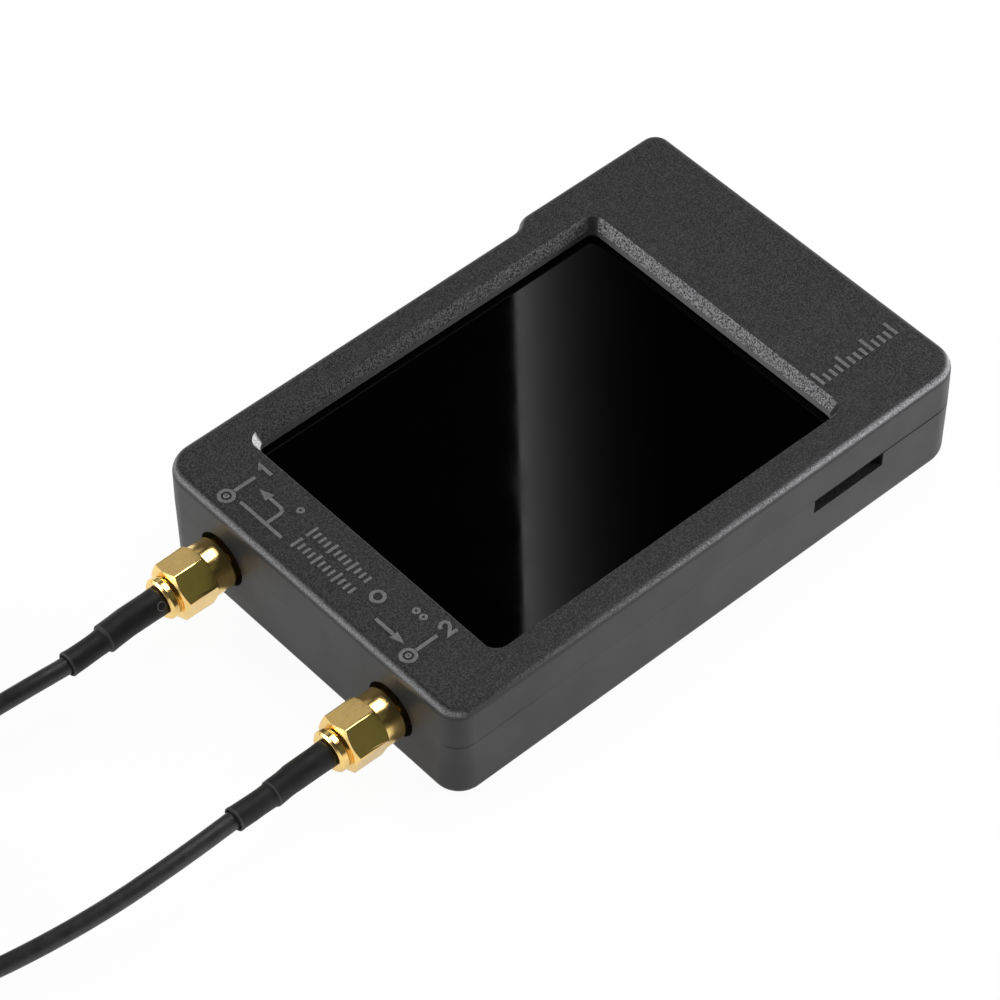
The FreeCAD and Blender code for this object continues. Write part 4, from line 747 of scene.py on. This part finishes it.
def ring_mark(bm, centre, radius, width=MARK_WIDTH):
    """A raised round line (mm)."""
    x, y = centre[0] * MM, centre[1] * MM
    inner, outer = (radius - width / 2) * MM, (radius + width / 2) * MM
    low, high = CASE_TOP - MARK_SUNK, CASE_TOP + MARK_HEIGHT
    shoulder = high - 0.05 * MM
    corners = [(inner, low), (inner, shoulder), (inner + MARK_EDGE, high),
               (outer - MARK_EDGE, high), (outer, shoulder), (outer, low)]
    verts = [bm.verts.new((x + across, y, up)) for across, up in corners]
    edges = [bm.edges.new((a, b)) for a, b in zip(verts, verts[1:] + verts[:1])]
    bmesh.ops.spin(bm, geom=verts + edges, cent=(x, y, 0), axis=(0, 0, 1), angle=math.tau, steps=32,
                   use_merge=True)


# numerals as strokes, from the middle of their foot (mm)
NUMERALS = {"1": [(-0.6, 1.65), (0.05, 2.3), (0.05, 0.0)],
            "2": [(-0.75, 1.6), (-0.6, 2.05), (-0.1, 2.3), (0.4, 2.2), (0.65, 1.75), (0.5, 1.3),
                  (-0.6, 0.2), (0.8, 0.2)]}
NUMERAL_HEIGHT = 2.3
TICKS_PER_DIVISION = 4


def port_sign(bm, number, y, socket_x=-43.2, lead=(-41.9, -38.3), numeral_x=-36.5):
    """A socket seen from the front, and a line from it to the port's number (mm)."""
    ring_mark(bm, (socket_x, y), 1.0)
    ring_mark(bm, (socket_x, y), 0.26, 0.36)
    stroke(bm, (lead[0], y), (lead[1], y))
    foot = y - NUMERAL_HEIGHT / 2
    stroke(bm, *[(numeral_x + across, foot + up) for across, up in NUMERALS[number]])


def signal_arrows(bm):
    """Port one: out of a line and back up.  Port two: straight down."""
    stroke(bm, (-42.45, 16.6), (-42.45, 8.3))
    stroke(bm, (-42.2, 11.55), (-40.0, 11.55), (-39.45, 11.75), (-39.2, 12.3), (-39.2, 14.55))
    raised(bm, [(-39.2, 16.65), (-39.95, 14.55), (-38.45, 14.55)])
    stroke(bm, (-42.3, -10.2), (-42.3, -13.7))
    raised(bm, [(-42.34, -15.8), (-41.6, -13.7), (-43.0, -13.7)])


def level_scales(bm, first_y=6.4, reaches=(1.0, 0.65)):
    """Two rows of ticks down the port side, one tick a millimetre (mm)."""
    for x in (-41.5, -38.8):
        for k in range(12):
            reach = reaches[0 if k % TICKS_PER_DIVISION == 0 else 1]
            stroke(bm, (x - reach, first_y - k), (x + reach, first_y - k), width=0.42)


def far_scale(bm, first_x=28.9, apart=1.15, foot=-19.8, heights=(2.6, 1.5)):
    """One row of ticks on the far end of the display side (mm)."""
    for k in range(13):
        x = first_x + apart * k
        stroke(bm, (x, foot), (x, foot + heights[0 if k % TICKS_PER_DIVISION == 0 else 1]))


def port_marks():
    """Marks for the two ports, and scales."""
    bm = bmesh.new()
    port_sign(bm, "1", 18.65)
    port_sign(bm, "2", -17.55)
    signal_arrows(bm)
    level_scales(bm)
    ring_mark(bm, (-39.7, -7.6), 0.9)
    for y in (10.2, -12.7, -14.1):
        ring_mark(bm, (-37.6, y), 0.38, 0.38)
    far_scale(bm)
    bmesh.ops.recalc_face_normals(bm, faces=bm.faces)
    made = piece("port_marks", bm, MARKS, "housing", smooth=False)


# Studio

# place, what it is aimed at, size (m) and power (W)
LAMPS = {
    "overhead_lamp": ((0.23, 0.09, 0.7), (0.23, 0.09, 0), (0.16, 0.48), 1.7),
    "left_lamp": ((-0.6, 0.36, 0.2), (-0.02, 0, 0), (0.4, 0.3), 2.7),
    "right_lamp": ((0.3, -0.3, 0.07), (0.06, -0.03, 0), (0.2, 0.1), 2.3),
    "far_lamp": ((0.6, -0.02, 0.17), (0, 0, 0), (0.15, 0.1), 0.5),
}
UNMIRRORED = ("right_lamp",)    # so low that the display side would glare, seen from behind


def soft_lamp(name, place, target, size, power):
    lamp = bpy.data.lights.new(name, "AREA")
    lamp.shape = "RECTANGLE"
    lamp.size, lamp.size_y = size
    lamp.energy = power
    made = bpy.data.objects.new(name, lamp)
    made.location = place
    made.rotation_euler = (Vector(target) - Vector(place)).to_track_quat("-Z", "Y").to_euler()
    made.visible_camera = False
    made.visible_glossy = name not in UNMIRRORED
    bpy.context.collection.objects.link(made)


FLOOR_REACH = 3.0
FLOOR_GAP = 0.05 * MM           # under the object
# painted shade on the floor, which only shiny pieces see
FLOOR_SHADE_CENTRE = (-60 * MM, -35 * MM)    # round here shiny pieces see a dimmer floor


def floor():
    """A pale floor that looks white to the eye and in reflections, and keeps a soft shadow; shiny
    pieces see painted shade on it near port two.
    """
    bm = bmesh.new()
    bmesh.ops.create_grid(bm, x_segments=1, y_segments=1, size=FLOOR_REACH)
    bmesh.ops.translate(bm, vec=(0, 0, -FLOOR_GAP), verts=bm.verts)
    paint = Finish("floor_paint", (0.94, 0.94, 0.94, 1.0), 0.9)
    paths = paint.add("LightPath")
    x, y = FLOOR_SHADE_CENTRE
    corner = paint.add("Mapping", Vector=paint.place, Location=(-x, -y, 0)).outputs[0]
    away = paint.nodes.new("ShaderNodeVectorMath")
    away.operation = "LENGTH"
    paint.links.new(corner, away.inputs[0])
    # painted shade: the floor as shiny pieces mirror it is dimmer near port two
    mirrored_floor_light = paint.ramp(away.outputs["Value"], 10 * MM, 90 * MM, 0.35, 1.0)
    share = paint.math("MAXIMUM", paint.times(paths.outputs["Is Camera Ray"], 0.95),
                       paint.times(paths.outputs["Is Glossy Ray"], mirrored_floor_light))
    white = paint.add("Emission", Color=(1, 1, 1, 1), Strength=1.0)
    mix = paint.nodes.new("ShaderNodeMixShader")
    paint.links.new(share, mix.inputs[0])
    paint.links.new(paint.shader.outputs[0], mix.inputs[1])
    paint.links.new(white.outputs[0], mix.inputs[2])
    paint.links.new(mix.outputs[0], paint.nodes["Material Output"].inputs["Surface"])
    piece("floor", bm, paint.material)


# the card behind the band in the display glass, on the card's own level: two places on its
# sharp edge, how far it runs beyond them, and how far it fades (mm)
BAND_HEIGHT = 500 * MM
BAND_EDGE = ((236.7, 268.6), (323.1, 368.4))
BAND_BEYOND = (40, 60)
BAND_REACH = 60
BAND_GLOW = 5.0                 # at its sharp edge
BAND_LEFT = 0.0006              # share of the glow that is left at its far edge


def fading_card():
    """A card that the display glass mirrors as a band: bright at one edge, then fading."""
    near, far = Vector(BAND_EDGE[0]), Vector(BAND_EDGE[1])
    way = (far - near).normalized()
    near, far = near - way * BAND_BEYOND[0], far + way * BAND_BEYOND[1]
    aside = Vector((way.y, -way.x)) * BAND_REACH
    bm = bmesh.new()
    corners = [bm.verts.new((p.x * MM, p.y * MM, BAND_HEIGHT))
               for p in (near, far, far + aside, near + aside)]
    bm.faces.new(corners)
    paint = Finish("card_paint", (0, 0, 0, 1), 1.0)
    from_edge = paint.nodes.new("ShaderNodeVectorMath")
    from_edge.operation = "DOT_PRODUCT"
    shifted = paint.add("Mapping", Vector=paint.place, Location=(-near.x * MM, -near.y * MM, 0))
    paint.links.new(shifted.outputs[0], from_edge.inputs[0])
    from_edge.inputs[1].default_value = (*(aside.normalized() / (aside.length * MM)), 0)
    fade = paint.math("POWER", BAND_LEFT, from_edge.outputs["Value"])
    glow = paint.add("Emission", Color=(1, 1, 1, 1), Strength=paint.times(fade, BAND_GLOW))
    paint.links.new(glow.outputs[0], paint.nodes["Material Output"].inputs["Surface"])
    made = piece("glass_card", bm, paint.material)
    made.visible_camera = False
    made.visible_diffuse = False
    made.visible_shadow = False


SKY_LIGHT = 0.5                 # on everything that isn't shiny
ROOM_TINT = (0.87, 1, 0.6, 1)   # of the room's front, as shiny pieces see it


def studio_sky():
    """Plain light on everything; shiny pieces see a dark room with a bright horizon."""
    world = bpy.data.worlds.new("studio")
    bpy.context.scene.world = world
    world.use_nodes = True
    sky = Tree(world.node_tree)
    way = sky.add("TexCoord").outputs["Generated"]
    z = sky.add("SeparateXYZ", Vector=way).outputs["Z"]

    def towards(x, y, up, low, high):
        """1 in this direction, 0 beyond a cone; low and high are cosines of its angles."""
        aim = sky.nodes.new("ShaderNodeVectorMath")
        aim.operation = "DOT_PRODUCT"
        sky.links.new(way, aim.inputs[0])
        aim.inputs[1].default_value = Vector((x, y, up)).normalized()
        return sky.ramp(aim.outputs["Value"], low, high, 0.0, 1.0)

    horizon = sky.ramp(z, 0.06, 0.2, 1.0, 0.0)
    left = towards(-0.88, 0.48, 0.05, 0.6, 0.95)
    behind = towards(0.446, 0.765, 0.46, 0.96, 0.985)
    front = towards(0.41, -0.74, 0.53, 0.9, 0.97)
    room = sky.plus(0.03, sky.times(horizon, sky.plus(0.8, sky.times(left, 1.5))))
    room = sky.math("MAXIMUM", room, sky.times(behind, 0.5))
    room = sky.math("MAXIMUM", room, sky.times(front, 0.12))
    shiny = sky.add("LightPath").outputs["Is Glossy Ray"]
    light = sky.nodes.new("ShaderNodeMix")
    light.inputs["A"].default_value = SKY_LIGHT
    sky.links.new(shiny, light.inputs["Factor"])
    sky.links.new(room, light.inputs["B"])
    tint = sky.nodes.new("ShaderNodeMix")
    tint.data_type = "RGBA"
    tint.inputs[6].default_value = (1, 1, 1, 1)
    tint.inputs[7].default_value = ROOM_TINT
    sky.links.new(sky.times(front, shiny), tint.inputs["Factor"])
    back = sky.nodes["Background"]
    sky.links.new(tint.outputs[2], back.inputs["Color"])
    sky.links.new(light.outputs["Result"], back.inputs["Strength"])


def surroundings():
    bpy.context.scene.view_settings.view_transform = "Standard"
    studio_sky()
    floor()
    fading_card()
    for name, facts in LAMPS.items():
        soft_lamp(name, *facts)


camera()
dress_solids()
for port in PORTS:
    cable(port)
port_marks()
surroundings()
